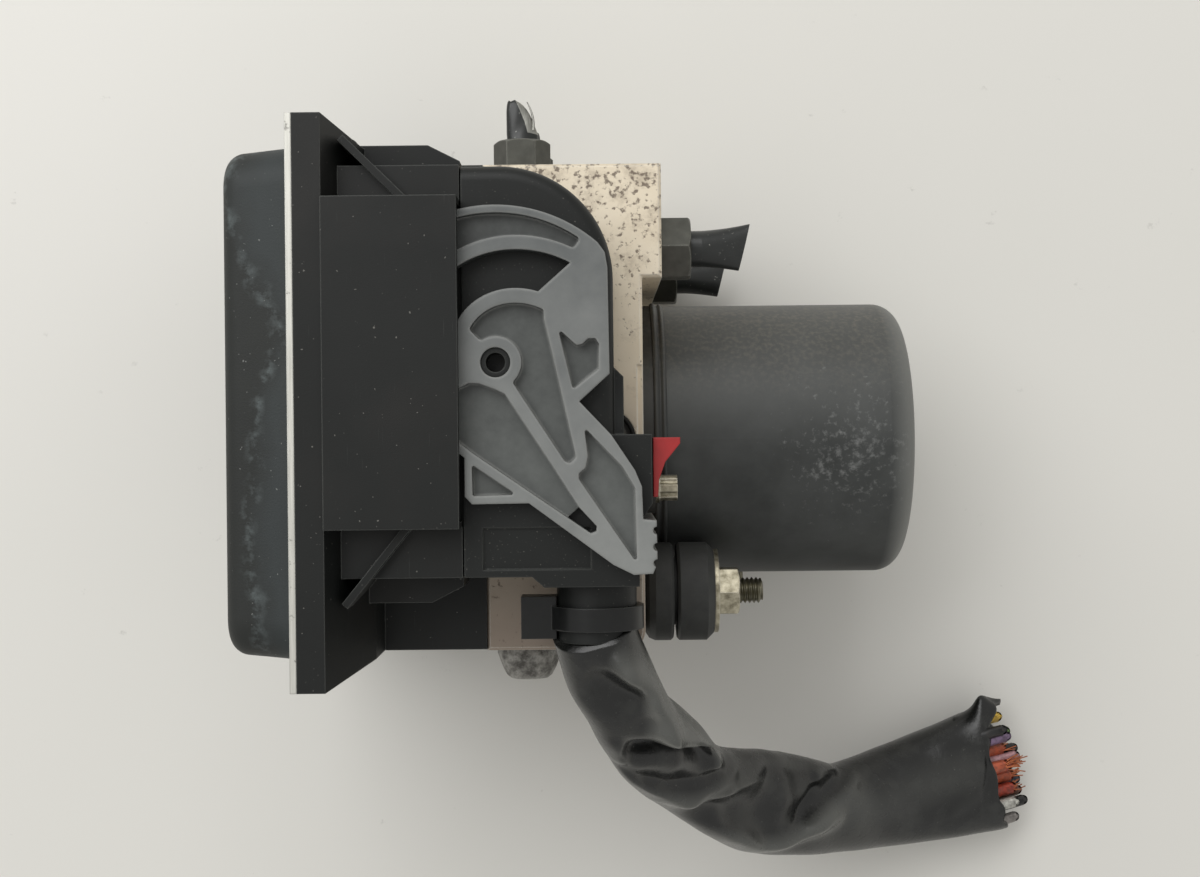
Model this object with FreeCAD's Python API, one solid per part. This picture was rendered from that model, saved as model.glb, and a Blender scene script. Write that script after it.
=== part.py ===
import FreeCAD, Part
import math
import os

# Hydraulic unit of a car's anti-lock brakes, lying on the -Z side of its valve block.
# X runs from the control unit to the pump motor, +Z up to the harness plug, Y along the block.
# The origin is on the resting face, under the motor's axis. All sizes are millimetres.

V = FreeCAD.Vector
AXES = {"x": V(1, 0, 0), "y": V(0, 1, 0), "z": V(0, 0, 1)}

# Clearances used wherever two pieces meet
fit_gap = 0.05        # radial play of a shaft, a piston or a pressed-in piece
seat_gap = 0.3        # play between pieces that move past each other

# Valve block
block_width = 34.1    # from the control unit's side to the motor's side
block_height = 104.6
block_depth = 92.0
block_top_y = 59.6
ecu_face_x = -24.7
pad_thickness = 4.3   # raised pad under the two inlet unions
pad_height = 24.6
block_corner = 4.0
block_chamfer = 0.6
relief_width = 1.3    # milled along the plug side's motor edge, beside the motor's flange
relief_depth = 0.8
relief_foot_y = -12.0
relief_top_y = 16.2
motor_face_x = ecu_face_x + block_width
pad_face_x = motor_face_x + pad_thickness
block_foot_y = block_top_y - block_height
motor_axis_z = block_depth / 2

# Valves: stems in the block, coils round them in the control unit
valve_columns = 4
valve_rows = 3
valve_pitch_y = 22.0
valve_pitch_z = 24.0
valve_centre_y = 5.3
valve_seat_r = 4.5
valve_seat_depth = 9.0
stem_r = 3.1
stem_reach = 19.0
coil_r = 8.0
coil_length = 14.5

# Pump in the block
pump_x = 0.9
chamber_r = 12.0
chamber_depth = 18.0
end_bearing_r = 7.0
end_bearing_width = 5.0
pump_bore_r = 5.2
pump_plug_r = 6.9
pump_plug_thickness = 6.0
pump_plug_rim = 0.7
pump_plug_groove = 0.9    # width and depth of the ring groove that the staking tool leaves
pump_piston_length = 15.0
pump_spring_wire = 0.8
pump_spring_turns = 4
eccentric_throw = 1.2
eccentric_r = 5.5
eccentric_ring_r = 8.5
eccentric_ring_width = 10.0

# Pressure accumulators, bored from the foot of the block
accumulator_x = -5.0
accumulator_offset_z = 13.0
accumulator_r = 9.0
accumulator_depth = 27.0
accumulator_piston_length = 9.0
accumulator_cap_lip = 1.0
accumulator_cap_thickness = 2.5
accumulator_spring_wire = 1.4
accumulator_spring_turns = 4

# Pressed plugs that close the cross drillings
ball_plug_r = 2.6
ball_plug_depth = 3.0
ball_plug_sink = 0.4

# Unions and cut pipes
wheel_port_x = -16.8
wheel_port_margin = 15.0
wheel_port_inner_z = 10.0
wheel_port_outer_z = motor_axis_z - wheel_port_margin
wheel_port_offsets = (wheel_port_outer_z, wheel_port_inner_z, -wheel_port_inner_z, -wheel_port_outer_z)
wheel_thread_r = 5.0
wheel_thread_length = 11.0
wheel_nut_flats = 11.0
wheel_nut_height = 7.3
wheel_pipe_r = 2.35
wheel_stub_lengths = (9.6, 6.2, 7.4, 5.0)
inlet_port_y = 42.3
inlet_port_margin = 12.0
inlet_port_offset_z = motor_axis_z - inlet_port_margin
inlet_thread_r = 6.0
inlet_thread_length = 12.0
inlet_nut_flats = 13.0
inlet_nut_height = 6.7
inlet_pipe_r = 4.0
inlet_stub_length = 14.0

# Pump motor
can_r = 32.15
can_wall = 1.8
can_length = 62.0
can_edge_r = 6.0
can_flange_thickness = 2.6
can_flange_r = 32.3
can_bearing_boss_r = 9.6
can_bearing_boss_rise = 2.0
motor_bolt_radius = 38.5
motor_bolt_angle = 106.0
motor_ear_r = 5.6
motor_bolt_r = 2.5
motor_bolt_grip = 12.0
motor_bolt_flange_r = 3.3
motor_bolt_head_r = 2.9
motor_bolt_head_height = 3.9
shaft_r = 4.0
shaft_end_r = 3.0
rotor_air_gap = 0.7
armature_r = 22.0
armature_start = 24.0
armature_end_room = 12.0
armature_length = can_length - armature_start - armature_end_room
armature_slots = 12
slot_width = 2.4
slot_depth = 9.0
coil_end_height = 2.6
coil_end_lip = 0.5
commutator_r = 9.0
commutator_start = 9.0
commutator_length = 10.0
brush_plate_r = can_r - can_wall - seat_gap
brush_plate_thickness = 4.0
brush_size = 5.0
brush_length = 9.5
front_bearing_r = 9.0
front_bearing_width = 5.0
rear_bearing_r = 8.0
rear_bearing_width = 5.0
seal_thickness = 1.5
lead_y = 26.5
lead_offset_z = 3.0
lead_r = 1.0
lead_sleeve_r = 2.0
lead_reach = 8.0

# Rubber mounts
stud_y = -34.3
stud_spacing = 54.0
stud_r = 3.0
stud_core_r = 2.6
stud_depth = 9.0
stud_free_length = 5.4
rubber_r = 11.05
rubber_bore_r = 4.6
rubber_length = 15.8
rubber_groove_x = 6.7
rubber_groove_width = 0.8
rubber_groove_r = 7.6
mount_washer_r = 9.4
mount_washer_thickness = 1.0
mount_nut_flats = 10.0
mount_nut_height = 4.8
locator_x = -17.6
locator_pin_r = 3.0
locator_pin_depth = 8.0
locator_pin_reach = 10.5
locator_bush_r = 7.7
locator_bush_length = 12.2
locator_bush_tip_r = 4.6
locator_ring_r = 3.9

# Heights of the harness plug, stacked on the valve block
cheek_gap = 0.4       # between each cheek of the lever and the plug's cover
lower_cheek = 2.6
upper_cheek = 4.0
cover_height = 25.4
tier_roof = 2.4
tier_room = 1.2
socket_floor_z = block_depth + seat_gap
lever_low_z = (socket_floor_z + seat_gap, socket_floor_z + seat_gap + lower_cheek)
cover_low_z = lever_low_z[1] + cheek_gap
socket_top_z = cover_low_z + cover_height
lever_high_z = (socket_top_z + cheek_gap, socket_top_z + cheek_gap + upper_cheek)
tier_top_z = lever_high_z[1] + tier_room + tier_roof
plug_mid_z = (cover_low_z + socket_top_z) / 2

# Control unit
housing_depth = 29.0
housing_wall = 2.5
housing_foot_y = -44.7
housing_top_y = 59.5
flange_thickness = 5.6
flange_foot_y = -48.5
flange_top_y = 64.2
flange_top_z = tier_top_z - 1.0
flange_wall = 3.0
funnel_length = 7.0
funnel_top_z = block_depth + 14.0
plate_thickness = 1.3
cap_depth = 14.2
cap_wall = 2.0
cap_foot_y = -43.6
cap_top_y = 59.7
cap_inset_z = 6.0
cap_low_z = cap_inset_z
cap_high_z = flange_top_z - cap_inset_z
cap_draft = 1.3
cap_corner_r = 8.0
cap_edge_r = 4.0
board_thickness = 1.6
board_margin = 4.0
screw_r = 1.95
screw_head_r = 3.4
screw_head_height = 3.0
screw_grip = 10.0
screw_inset = 6.0
screw_tube_r = 3.6
screw_tube_length = 22.0
gasket_width = 1.8
gasket_inset = 3.2
gasket_gap = 0.3      # plastic between the gasket's groove and the screws
gasket_thickness = 1.0

# Harness socket on the control unit
socket_wall = 2.0
socket_mouth_x = -27.4
socket_foot_y = -26.9
socket_top_y = 54.9
tier_half_height = 32.35
tier_wall = 1.2
ridge_low_z = socket_floor_z + 2.7
ridge_high_z = plug_mid_z + 0.7
ridge_reach = 6.0
boss_x = -50.5
boss_r = 1.9
brace_thickness = 1.5
brace_top_z = tier_top_z - 5.5
pin_row_offset = 5.0
pin_rows_z = (plug_mid_z - pin_row_offset, plug_mid_z + pin_row_offset)
pins_per_row = 13
pin_pitch = 5.2
pin_size = 0.9
pin_reach = 12.0
peg_r = 3.5

# Harness plug
plug_axis_y = 15.5    # height of the lever's pivot, also the middle of the socket's raised tier
pivot_x = -20.3
pivot_pin_r = 2.88
pivot_hole_r = 2.95
pivot_pin_bore_r = 1.9
pivot_pin_bore_depth = 5.0
cover_wall = 2.0
cover_right_x = 2.9
cover_corner_r = 22.8
cover_edge_r = 3.0
foot_box_right_x = 7.6
foot_box_top_y = -14.5
foot_box_foot_y = -29.0
foot_box_step_x = -11.3
panel_depth = 0.8
fin_thickness = 1.9
fin_top_z = socket_top_z - 3.0
fin_foot_y = 1.2
fin_height = 13.4
catch_left_x = 4.0
catch_right_x = 10.3
catch_foot_y = -15.0
catch_top_y = 1.2
catch_bevel = 2.4
outlet_x = -1.0
outlet_z = plug_mid_z
outlet_r = 8.2
outlet_wall = 1.6
outlet_end_y = -41.0
carrier_back_x = -50.2
carrier_front_x = -15.0
terminal_size = 2.2
terminal_length = 12.0
seal_band = 1.5
bundle_r = 3.8
bundle_route = [
    (-15.0, 3.0, 108.3),
    (-5.0, 3.0, 108.3),
    (-5.0, -12.0, 108.3),
    (-1.0, -24.0, 108.3),
    (-1.0, -41.0, 108.3),
]
tie_y = -36.0
tie_width = 4.8
tie_thickness = 1.4
tie_head_width = 7.2
tie_head_height = 8.6
tie_head_depth = 6.0

# Lever: two cheeks with a spiral cam slot each, joined by a grip
lever_floor = 1.6
lever_rim_r = 30.8
lever_back_r = 19.0
lever_ring_r = 5.1
slot_start_r = 11.4
slot_rise = 4.08      # millimetres of travel for each radian of swing
slot_half_width = 3.9
slot_inner_end = 58.3     # the slot's slanted end, as angles round the pivot
slot_outer_end = 52.5
slot_rib = 2.8
hub_rib = 3.0
rib_round = 0.7
grip_notch_r = 0.8
grip_notch_pitch = 3.2

# Lever lock, the small slide on the catch
lock_high_z = socket_top_z - 3.0
lock_low_z = plug_mid_z - 8.3
lock_rail_half = 3.0
lock_rail_low_z = plug_mid_z - lock_rail_half
lock_rail_high_z = plug_mid_z + lock_rail_half
lock_rail_depth = 2.0
lock_rail_length = 10.0

# Harness
harness_r = 13.0
harness_route = [
    (-1.0, -41.0, 108.3),
    (2.5, -54.5, 101.5),
    (11.3, -65.5, 88.5),
    (20.0, -79.5, 66.0),
    (39.7, -91.0, 41.0),
    (63.0, -94.0, 22.5),
    (86.5, -90.0, 14.8),
    (107.5, -85.0, 13.2),
]
wire_r = 1.6
wire_reach = 3.0
wire_ring_pitch = 4.2
wire_ring_counts = (1, 6, 11)


def box(x, y, z):
    """Block between two limits on each axis."""
    size = (x[1] - x[0], y[1] - y[0], z[1] - z[0])
    return Part.makeBox(*size, V(x[0], y[0], z[0]))


def rod(axis, across, span, radius):
    """Round bar along an axis; across is its place on the other two axes, in X, Y, Z order."""
    start = {
        "x": (span[0], *across),
        "y": (across[0], span[0], across[-1]),
        "z": (*across, span[0]),
    }[axis]
    return Part.makeCylinder(radius, span[1] - span[0], V(*start), AXES[axis])


def ring(axis, across, span, outer_r, inner_r):
    """Round tube along an axis."""
    return rod(axis, across, span, outer_r).cut(rod(axis, across, span, inner_r))


def prism(points, z):
    """Straight-sided solid over an outline drawn in X and Y."""
    corners = [V(x, y, z[0]) for x, y in points]
    return Part.Face(Part.makePolygon(corners + corners[:1])).extrude(V(0, 0, z[1] - z[0]))


def turned(profile, origin, axis):
    """Solid of revolution; the profile is (distance along the axis, radius) from the origin."""
    along = AXES[axis]
    out = AXES["z"]
    corners = [origin + along * a + out * r for a, r in profile]
    face = Part.Face(Part.makePolygon(corners + corners[:1]))
    return face.revolve(origin, along, 360)


def hexagon(axis, across, span, flats, turn):
    """Six-sided bar with bevelled corners at its far end; turn is the angle of its first corner."""
    corner_r = flats / math.sqrt(3)
    angles = [math.radians(turn + 60 * i) for i in range(6)]
    ring_points = [(corner_r * math.cos(a), corner_r * math.sin(a)) for a in angles]
    length = span[1] - span[0]
    if axis == "x":
        corners = [V(span[0], across[0] + a, across[1] + b) for a, b in ring_points]
    else:
        corners = [V(across[0] + a, span[0], across[1] + b) for a, b in ring_points]
    bar = Part.Face(Part.makePolygon(corners + corners[:1])).extrude(AXES[axis] * length)
    bevel = corner_r - flats / 2
    slope = bevel * 0.6
    start = rod(axis, across, (span[0], span[1] - slope), corner_r)
    cone_base = {"x": V(span[1] - slope, *across), "y": V(across[0], span[1] - slope, across[1])}[axis]
    cone = Part.makeCone(corner_r, corner_r - bevel, slope, cone_base, AXES[axis])
    return bar.common(start.fuse(cone))


def joined(shapes):
    """Fuse a list of solids into one and clear the seams."""
    first, rest = shapes[0], shapes[1:]
    return first.multiFuse(rest).removeSplitter() if rest else first


def runs_along(edge, axis):
    """True for a straight edge parallel to the axis."""
    if edge.Curve.TypeId != "Part::GeomLine":
        return False
    return abs(edge.Curve.Direction.dot(AXES[axis])) > 0.999


def valve_places():
    """Centres of the valves on the control unit's face, as (Y, Z)."""
    places = []
    for column in range(valve_columns):
        for row in range(valve_rows):
            y = valve_centre_y + (column - (valve_columns - 1) / 2) * valve_pitch_y
            z = motor_axis_z + (row - (valve_rows - 1) / 2) * valve_pitch_z
            places.append((y, z))
    return places


def stud_places():
    """The two rubber mounts on the motor side, as (Y, Z)."""
    return [(stud_y, motor_axis_z + side * stud_spacing / 2) for side in (1, -1)]


def motor_bolt_places():
    """The two motor bolts, diagonally opposite, as (Y, Z)."""
    places = []
    for turn in (0, 180):
        angle = math.radians(motor_bolt_angle + turn)
        y = motor_bolt_radius * math.cos(angle)
        z = motor_axis_z + motor_bolt_radius * math.sin(angle)
        places.append((y, z))
    return places


def screw_places():
    """The four screws that hold the control unit on the block, as (Y, Z)."""
    ys = (housing_foot_y + screw_inset, housing_top_y - screw_inset)
    zs = (screw_inset, block_depth - screw_inset)
    return [(y, z) for y in ys for z in zs]


def accumulator_places():
    """Heights of the two accumulator bores."""
    return [motor_axis_z + side * accumulator_offset_z for side in (1, -1)]


def lead_places():
    """The two supply pins of the motor, as (Y, Z)."""
    return [(lead_y, motor_axis_z + side * lead_offset_z) for side in (1, -1)]


def ball_plug_places():
    """Plugged drillings: on the foot of the block and on its resting face."""
    foot = [("y", (ecu_face_x + 5.0, z)) for z in (12.0, block_depth - 12.0)]
    rest = [("z", (ecu_face_x + 8.0, y)) for y in (-30.0, -12.0, 28.0)]
    return foot + rest


def hydraulic_block():
    """Extruded aluminium block with its pad, bores and threads."""
    body = box((ecu_face_x, motor_face_x), (block_foot_y, block_top_y), (0, block_depth))
    pad_y = (block_top_y - pad_height, block_top_y)
    body = joined([body, box((motor_face_x, pad_face_x), pad_y, (0, block_depth))])
    corner = [
        e for e in body.Edges
        if runs_along(e, "z")
        and abs(e.CenterOfMass.x - motor_face_x) < 0.1
        and abs(e.CenterOfMass.y - block_foot_y) < 0.1
    ]
    body = body.makeFillet(block_corner, corner)
    rims = [
        e for e in body.Edges
        if abs(e.CenterOfMass.z - block_depth) < 0.01 or abs(e.CenterOfMass.z) < 0.01
    ]
    body = body.makeChamfer(block_chamfer, rims)
    relief_x = (motor_face_x - relief_width, motor_face_x)
    cuts = [box(relief_x, (relief_foot_y, relief_top_y), (block_depth - relief_depth, block_depth))]
    for place in valve_places():
        cuts.append(rod("x", place, (ecu_face_x, ecu_face_x + valve_seat_depth), valve_seat_r))
    for place in screw_places():
        cuts.append(rod("x", place, (ecu_face_x, ecu_face_x + screw_grip), screw_r + fit_gap))
    axis_place = (0, motor_axis_z)
    chamber_x = motor_face_x - chamber_depth
    cuts.append(rod("x", axis_place, (chamber_x, motor_face_x), chamber_r))
    cuts.append(rod("x", axis_place, (chamber_x - end_bearing_width, chamber_x), end_bearing_r))
    cuts.append(rod("z", (pump_x, 0), (0, block_depth), pump_bore_r + fit_gap))
    for low in (0, block_depth - pump_plug_thickness):
        cuts.append(rod("z", (pump_x, 0), (low, low + pump_plug_thickness), pump_plug_r))
    for z in accumulator_places():
        across = (accumulator_x, z)
        cuts.append(rod("y", across, (block_foot_y, block_foot_y + accumulator_depth), accumulator_r))
        lip_y = (block_foot_y, block_foot_y + accumulator_cap_thickness)
        cuts.append(rod("y", across, lip_y, accumulator_r + accumulator_cap_lip))
    for offset in wheel_port_offsets:
        across = (wheel_port_x, motor_axis_z + offset)
        span = (block_top_y - wheel_thread_length - 1.5, block_top_y)
        cuts.append(rod("y", across, span, wheel_thread_r))
    for side in (1, -1):
        across = (inlet_port_y, motor_axis_z + side * inlet_port_offset_z)
        span = (pad_face_x - inlet_thread_length - 1.5, pad_face_x)
        cuts.append(rod("x", across, span, inlet_thread_r))
    for place in motor_bolt_places():
        cuts.append(rod("x", place, (motor_face_x - motor_bolt_grip, motor_face_x), motor_bolt_r))
    for place in stud_places():
        cuts.append(rod("x", place, (motor_face_x - stud_depth, motor_face_x), stud_core_r + fit_gap))
    for place in lead_places():
        cuts.append(rod("x", place, (ecu_face_x, motor_face_x), lead_sleeve_r + fit_gap))
    pin_y = (block_foot_y, block_foot_y + locator_pin_depth)
    cuts.append(rod("y", (locator_x, motor_axis_z), pin_y, locator_pin_r + fit_gap))
    for axis, across in ball_plug_places():
        depth = ball_plug_depth + ball_plug_sink
        span = (block_foot_y, block_foot_y + depth) if axis == "y" else (0, depth)
        cuts.append(rod(axis, across, span, ball_plug_r + fit_gap))
    return body.cut(cuts)


def valve_stems():
    """Steel valve cartridges: a pressed base in the block and a tube for the coil."""
    stems = []
    for y, z in valve_places():
        base_r = valve_seat_r - fit_gap
        profile = [
            (valve_seat_depth, 0),
            (valve_seat_depth, base_r),
            (0, base_r),
            (0, stem_r),
            (1.0 - stem_reach, stem_r),
            (-stem_reach, stem_r - 1.0),
            (-stem_reach, 0),
        ]
        stems.append(turned(profile, V(ecu_face_x, y, z), "x"))
    return Part.makeCompound(stems)


def solenoid_coils():
    """Twelve moulded coils, one round each stem, standing on the housing's floor."""
    foot_x = ecu_face_x - socket_wall
    span = (foot_x - coil_length, foot_x)
    return Part.makeCompound(
        [ring("x", place, span, coil_r, stem_r + seat_gap) for place in valve_places()]
    )


def pump_pistons():
    """The two radial pistons of the return pump, just clear of the eccentric ring."""
    reach = eccentric_ring_r + eccentric_throw + seat_gap
    pistons = []
    for side in (1, -1):
        near = motor_axis_z + side * reach
        far = near + side * pump_piston_length
        pistons.append(rod("z", (pump_x, 0), (min(near, far), max(near, far)), pump_bore_r))
    return Part.makeCompound(pistons)


def coil_spring(foot, axis, length, radius, wire, turns):
    """Compression spring of square wire between two flat seats."""
    rise = length - wire
    helix = Part.makeHelix(rise / turns, rise, radius)
    half = wire / 2
    corners = [
        V(radius - half, 0, -half), V(radius + half, 0, -half),
        V(radius + half, 0, half), V(radius - half, 0, half),
    ]
    section = Part.Wire(Part.makePolygon(corners + corners[:1]))
    spring = Part.Wire(helix).makePipeShell([section], True, True)
    spring.translate(V(0, 0, half))
    turn = FreeCAD.Rotation(AXES["z"], axis)
    spring.Placement = FreeCAD.Placement(foot, turn).multiply(spring.Placement)
    return spring


def pump_springs():
    """Return springs between the pump pistons and their plugs."""
    start = eccentric_ring_r + eccentric_throw + seat_gap + pump_piston_length
    length = motor_axis_z - pump_plug_thickness - start
    radius = pump_bore_r - pump_spring_wire
    springs = []
    for side in (1, -1):
        foot = V(pump_x, 0, motor_axis_z + side * start)
        springs.append(coil_spring(
            foot, AXES["z"] * side, length, radius, pump_spring_wire, pump_spring_turns
        ))
    return Part.makeCompound(springs)


def pump_plugs():
    """Staked plugs that close the pump bore on both sides of the block."""
    plug_r = pump_plug_r - fit_gap
    groove_r = (plug_r - pump_plug_rim, plug_r - pump_plug_rim - pump_plug_groove)
    plugs = []
    for low, face in ((0, 0), (block_depth - pump_plug_thickness, block_depth - pump_plug_groove)):
        plug = rod("z", (pump_x, 0), (low, low + pump_plug_thickness), plug_r)
        groove = ring("z", (pump_x, 0), (face, face + pump_plug_groove), *groove_r)
        plugs.append(plug.cut(groove))
    return Part.makeCompound(plugs)


def accumulator_piston(z):
    """Cup-shaped piston at the inner end of its bore."""
    top = block_foot_y + accumulator_depth - seat_gap
    foot = top - accumulator_piston_length
    piston_r = accumulator_r - fit_gap
    cup_r = piston_r - 2.0
    across = (accumulator_x, z)
    spring_seat = top - 3.0
    return rod("y", across, (foot, top), piston_r).cut(rod("y", across, (foot, spring_seat), cup_r))


def accumulator_spring(z):
    """Spring from the cap up into the piston's cup."""
    foot = block_foot_y + accumulator_cap_thickness
    seat = block_foot_y + accumulator_depth - seat_gap - 3.0
    radius = accumulator_r - 2.0 - fit_gap - seat_gap - accumulator_spring_wire / 2
    return coil_spring(
        V(accumulator_x, foot, z), AXES["y"], seat - foot, radius,
        accumulator_spring_wire, accumulator_spring_turns,
    )


def accumulator_caps():
    """Pressed caps that close the accumulator bores at the foot of the block."""
    cap_r = accumulator_r + accumulator_cap_lip - fit_gap
    dish_r = accumulator_r - 2.0
    caps = []
    for z in accumulator_places():
        across = (accumulator_x, z)
        cap = rod("y", across, (block_foot_y, block_foot_y + accumulator_cap_thickness), cap_r)
        dish = rod("y", across, (block_foot_y, block_foot_y + accumulator_cap_lip), dish_r)
        caps.append(cap.cut(dish))
    return Part.makeCompound(caps)


def ball_plugs():
    """Pressed plugs of the cross drillings, sunk a little under the surface."""
    plugs = []
    for axis, across in ball_plug_places():
        low = block_foot_y if axis == "y" else 0
        span = (low + ball_plug_sink, low + ball_plug_sink + ball_plug_depth)
        plugs.append(rod(axis, across, span, ball_plug_r))
    return Part.makeCompound(plugs)


def wheel_pipe_nuts():
    """Union nuts of the four wheel circuits."""
    nuts = []
    for offset in wheel_port_offsets:
        across = (wheel_port_x, motor_axis_z + offset)
        head = hexagon("y", across, (block_top_y, block_top_y + wheel_nut_height), wheel_nut_flats, 0)
        thread = rod("y", across, (block_top_y - wheel_thread_length, block_top_y), wheel_thread_r - fit_gap)
        nut = joined([head, thread])
        span = (block_top_y - wheel_thread_length, block_top_y + wheel_nut_height)
        nuts.append(nut.cut(rod("y", across, span, wheel_pipe_r + fit_gap)))
    return Part.makeCompound(nuts)


def pinched_pipe(axis, start, straight, flare, radius, wide, thin):
    """Pipe end squeezed flat by the cutter: round for a stretch, then a loft to a flat oval."""
    along = AXES[axis]
    side = AXES["y"] if axis == "x" else AXES["x"]
    sections = []
    steps = ((0, radius, radius), (0.45, radius + (wide - radius) * 0.3, radius + (thin - radius) * 0.4),
             (1, wide, thin))
    for share, half_wide, half_thin in steps:
        centre = start + along * (straight + flare * share)
        if share == 0:
            sections.append(Part.Wire(Part.Circle(centre, along, radius).toShape()))
            continue
        oval = Part.Ellipse(centre + side * half_wide, centre + AXES["z"] * half_thin, centre)
        sections.append(Part.Wire(oval.toShape()))
    flat = Part.makeLoft(sections, True, False)
    return Part.makeCylinder(radius, straight, start, along).fuse(flat)


def wheel_pipe_stubs():
    """What is left of the steel brake pipes, snapped off above the unions."""
    stubs = []
    for offset, length in zip(wheel_port_offsets, wheel_stub_lengths):
        depth = wheel_thread_length
        start = V(wheel_port_x, block_top_y - depth, motor_axis_z + offset)
        flare = length * 0.6
        straight = depth + wheel_nut_height + length - flare
        wide = wheel_pipe_r * 1.05
        stubs.append(pinched_pipe("y", start, straight, flare, wheel_pipe_r, wide, wheel_pipe_r * 0.5))
    return Part.makeCompound(stubs)


def inlet_pipe_nuts():
    """Union nuts of the two feeds from the master cylinder, a corner towards the plug side."""
    nuts = []
    for side in (1, -1):
        across = (inlet_port_y, motor_axis_z + side * inlet_port_offset_z)
        head = hexagon("x", across, (pad_face_x, pad_face_x + inlet_nut_height), inlet_nut_flats, 30)
        thread = rod("x", across, (pad_face_x - inlet_thread_length, pad_face_x), inlet_thread_r - fit_gap)
        nut = joined([head, thread])
        span = (pad_face_x - inlet_thread_length, pad_face_x + inlet_nut_height)
        nuts.append(nut.cut(rod("x", across, span, inlet_pipe_r + fit_gap)))
    return Part.makeCompound(nuts)


def inlet_pipe_stubs():
    """Cut ends of the two feed pipes, squeezed wide by the cutter and cut at a slant."""
    stubs = []
    for side in (1, -1):
        z = motor_axis_z + side * inlet_port_offset_z
        start = V(pad_face_x - inlet_thread_length, inlet_port_y, z)
        flare = inlet_stub_length - 2.5
        straight = inlet_thread_length + inlet_nut_height + 2.5
        wide, thin = inlet_pipe_r * 1.4, inlet_pipe_r * 0.45
        pipe = pinched_pipe("x", start, straight, flare, inlet_pipe_r, wide, thin)
        end_x = pad_face_x + inlet_nut_height + inlet_stub_length
        reach = inlet_pipe_r * 2
        slant = prism(
            [(end_x, inlet_port_y + reach), (end_x + 3, inlet_port_y + reach),
             (end_x + 3, inlet_port_y - reach), (end_x - 4, inlet_port_y - reach)],
            (z - reach, z + reach),
        )
        stubs.append(pipe.cut(slant))
    return Part.makeCompound(stubs)


def motor_can():
    """Deep-drawn steel can with its flange, two ears and the rear bearing pocket."""
    end_x = motor_face_x + can_length
    shell = rod("x", (0, motor_axis_z), (motor_face_x, end_x), can_r)
    rim = [e for e in shell.Edges if abs(e.CenterOfMass.x - end_x) < 0.01]
    shell = shell.makeFillet(can_edge_r, rim)
    flange_x = (motor_face_x, motor_face_x + can_flange_thickness)
    pieces = [shell, rod("x", (0, motor_axis_z), flange_x, can_flange_r)]
    for y, z in motor_bolt_places():
        ear = rod("x", (y, z), flange_x, motor_ear_r)
        bridge = box(flange_x, (-motor_ear_r, motor_ear_r), (0, motor_bolt_radius))
        bridge.rotate(V(0, 0, 0), AXES["x"], math.degrees(math.atan2(z - motor_axis_z, y)) - 90)
        bridge.translate(V(0, 0, motor_axis_z))
        pieces += [ear, bridge]
    boss_x = (end_x - 1, end_x + can_bearing_boss_rise)
    boss = rod("x", (0, motor_axis_z), boss_x, can_bearing_boss_r)
    boss_rim = [e for e in boss.Edges if abs(e.CenterOfMass.x - boss_x[1]) < 0.01]
    pieces.append(boss.makeFillet(can_bearing_boss_rise * 0.8, boss_rim))
    body = joined(pieces)
    inner = rod("x", (0, motor_axis_z), (motor_face_x, end_x - can_wall), can_r - can_wall)
    inner_rim = [e for e in inner.Edges if abs(e.CenterOfMass.x - (end_x - can_wall)) < 0.01]
    inner = inner.makeFillet(can_edge_r - can_wall, inner_rim)
    pocket_x = (end_x - rear_bearing_width, end_x)
    pocket = rod("x", (0, motor_axis_z), pocket_x, rear_bearing_r + fit_gap)
    holes = [rod("x", place, flange_x, motor_bolt_r + fit_gap) for place in motor_bolt_places()]
    return body.cut([inner, pocket] + holes)


def motor_bolts():
    """Two bolts with a round flange and a six-lobed head."""
    bolts = []
    seat_x = motor_face_x + can_flange_thickness
    for y, z in motor_bolt_places():
        shank = rod("x", (y, z), (motor_face_x - motor_bolt_grip, seat_x), motor_bolt_r - fit_gap)
        flange = rod("x", (y, z), (seat_x, seat_x + 1.0), motor_bolt_flange_r)
        head_x = (seat_x + 1.0, seat_x + 1.0 + motor_bolt_head_height)
        head = rod("x", (y, z), head_x, motor_bolt_head_r)
        flute_r = motor_bolt_head_r * 0.3
        flutes = []
        for i in range(6):
            angle = math.radians(60 * i)
            reach = motor_bolt_head_r + flute_r * 0.45
            place = (y + reach * math.cos(angle), z + reach * math.sin(angle))
            flutes.append(rod("x", place, head_x, flute_r))
        bolts.append(joined([shank, flange, head.cut(flutes)]))
    return Part.makeCompound(bolts)


def shaft_end_x():
    """Where the motor shaft ends in the rear bearing."""
    return motor_face_x + can_length - seat_gap


def motor_shaft():
    """Shaft with its eccentric journal and the thin end that runs in the block."""
    across = (0, motor_axis_z)
    chamber_x = motor_face_x - chamber_depth
    journal_x = (pump_x - eccentric_ring_width / 2 - 1.0, pump_x + eccentric_ring_width / 2 + 1.0)
    pieces = [
        rod("x", across, (chamber_x - end_bearing_width + seat_gap, journal_x[0]), shaft_end_r),
        rod("x", (0, motor_axis_z + eccentric_throw), journal_x, eccentric_r),
        rod("x", across, (journal_x[1], shaft_end_x()), shaft_r),
    ]
    return joined(pieces)


def eccentric_bearing():
    """Needle bearing on the eccentric journal."""
    span = (pump_x - eccentric_ring_width / 2, pump_x + eccentric_ring_width / 2)
    across = (0, motor_axis_z + eccentric_throw)
    return ring("x", across, span, eccentric_ring_r, eccentric_r + fit_gap)


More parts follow.
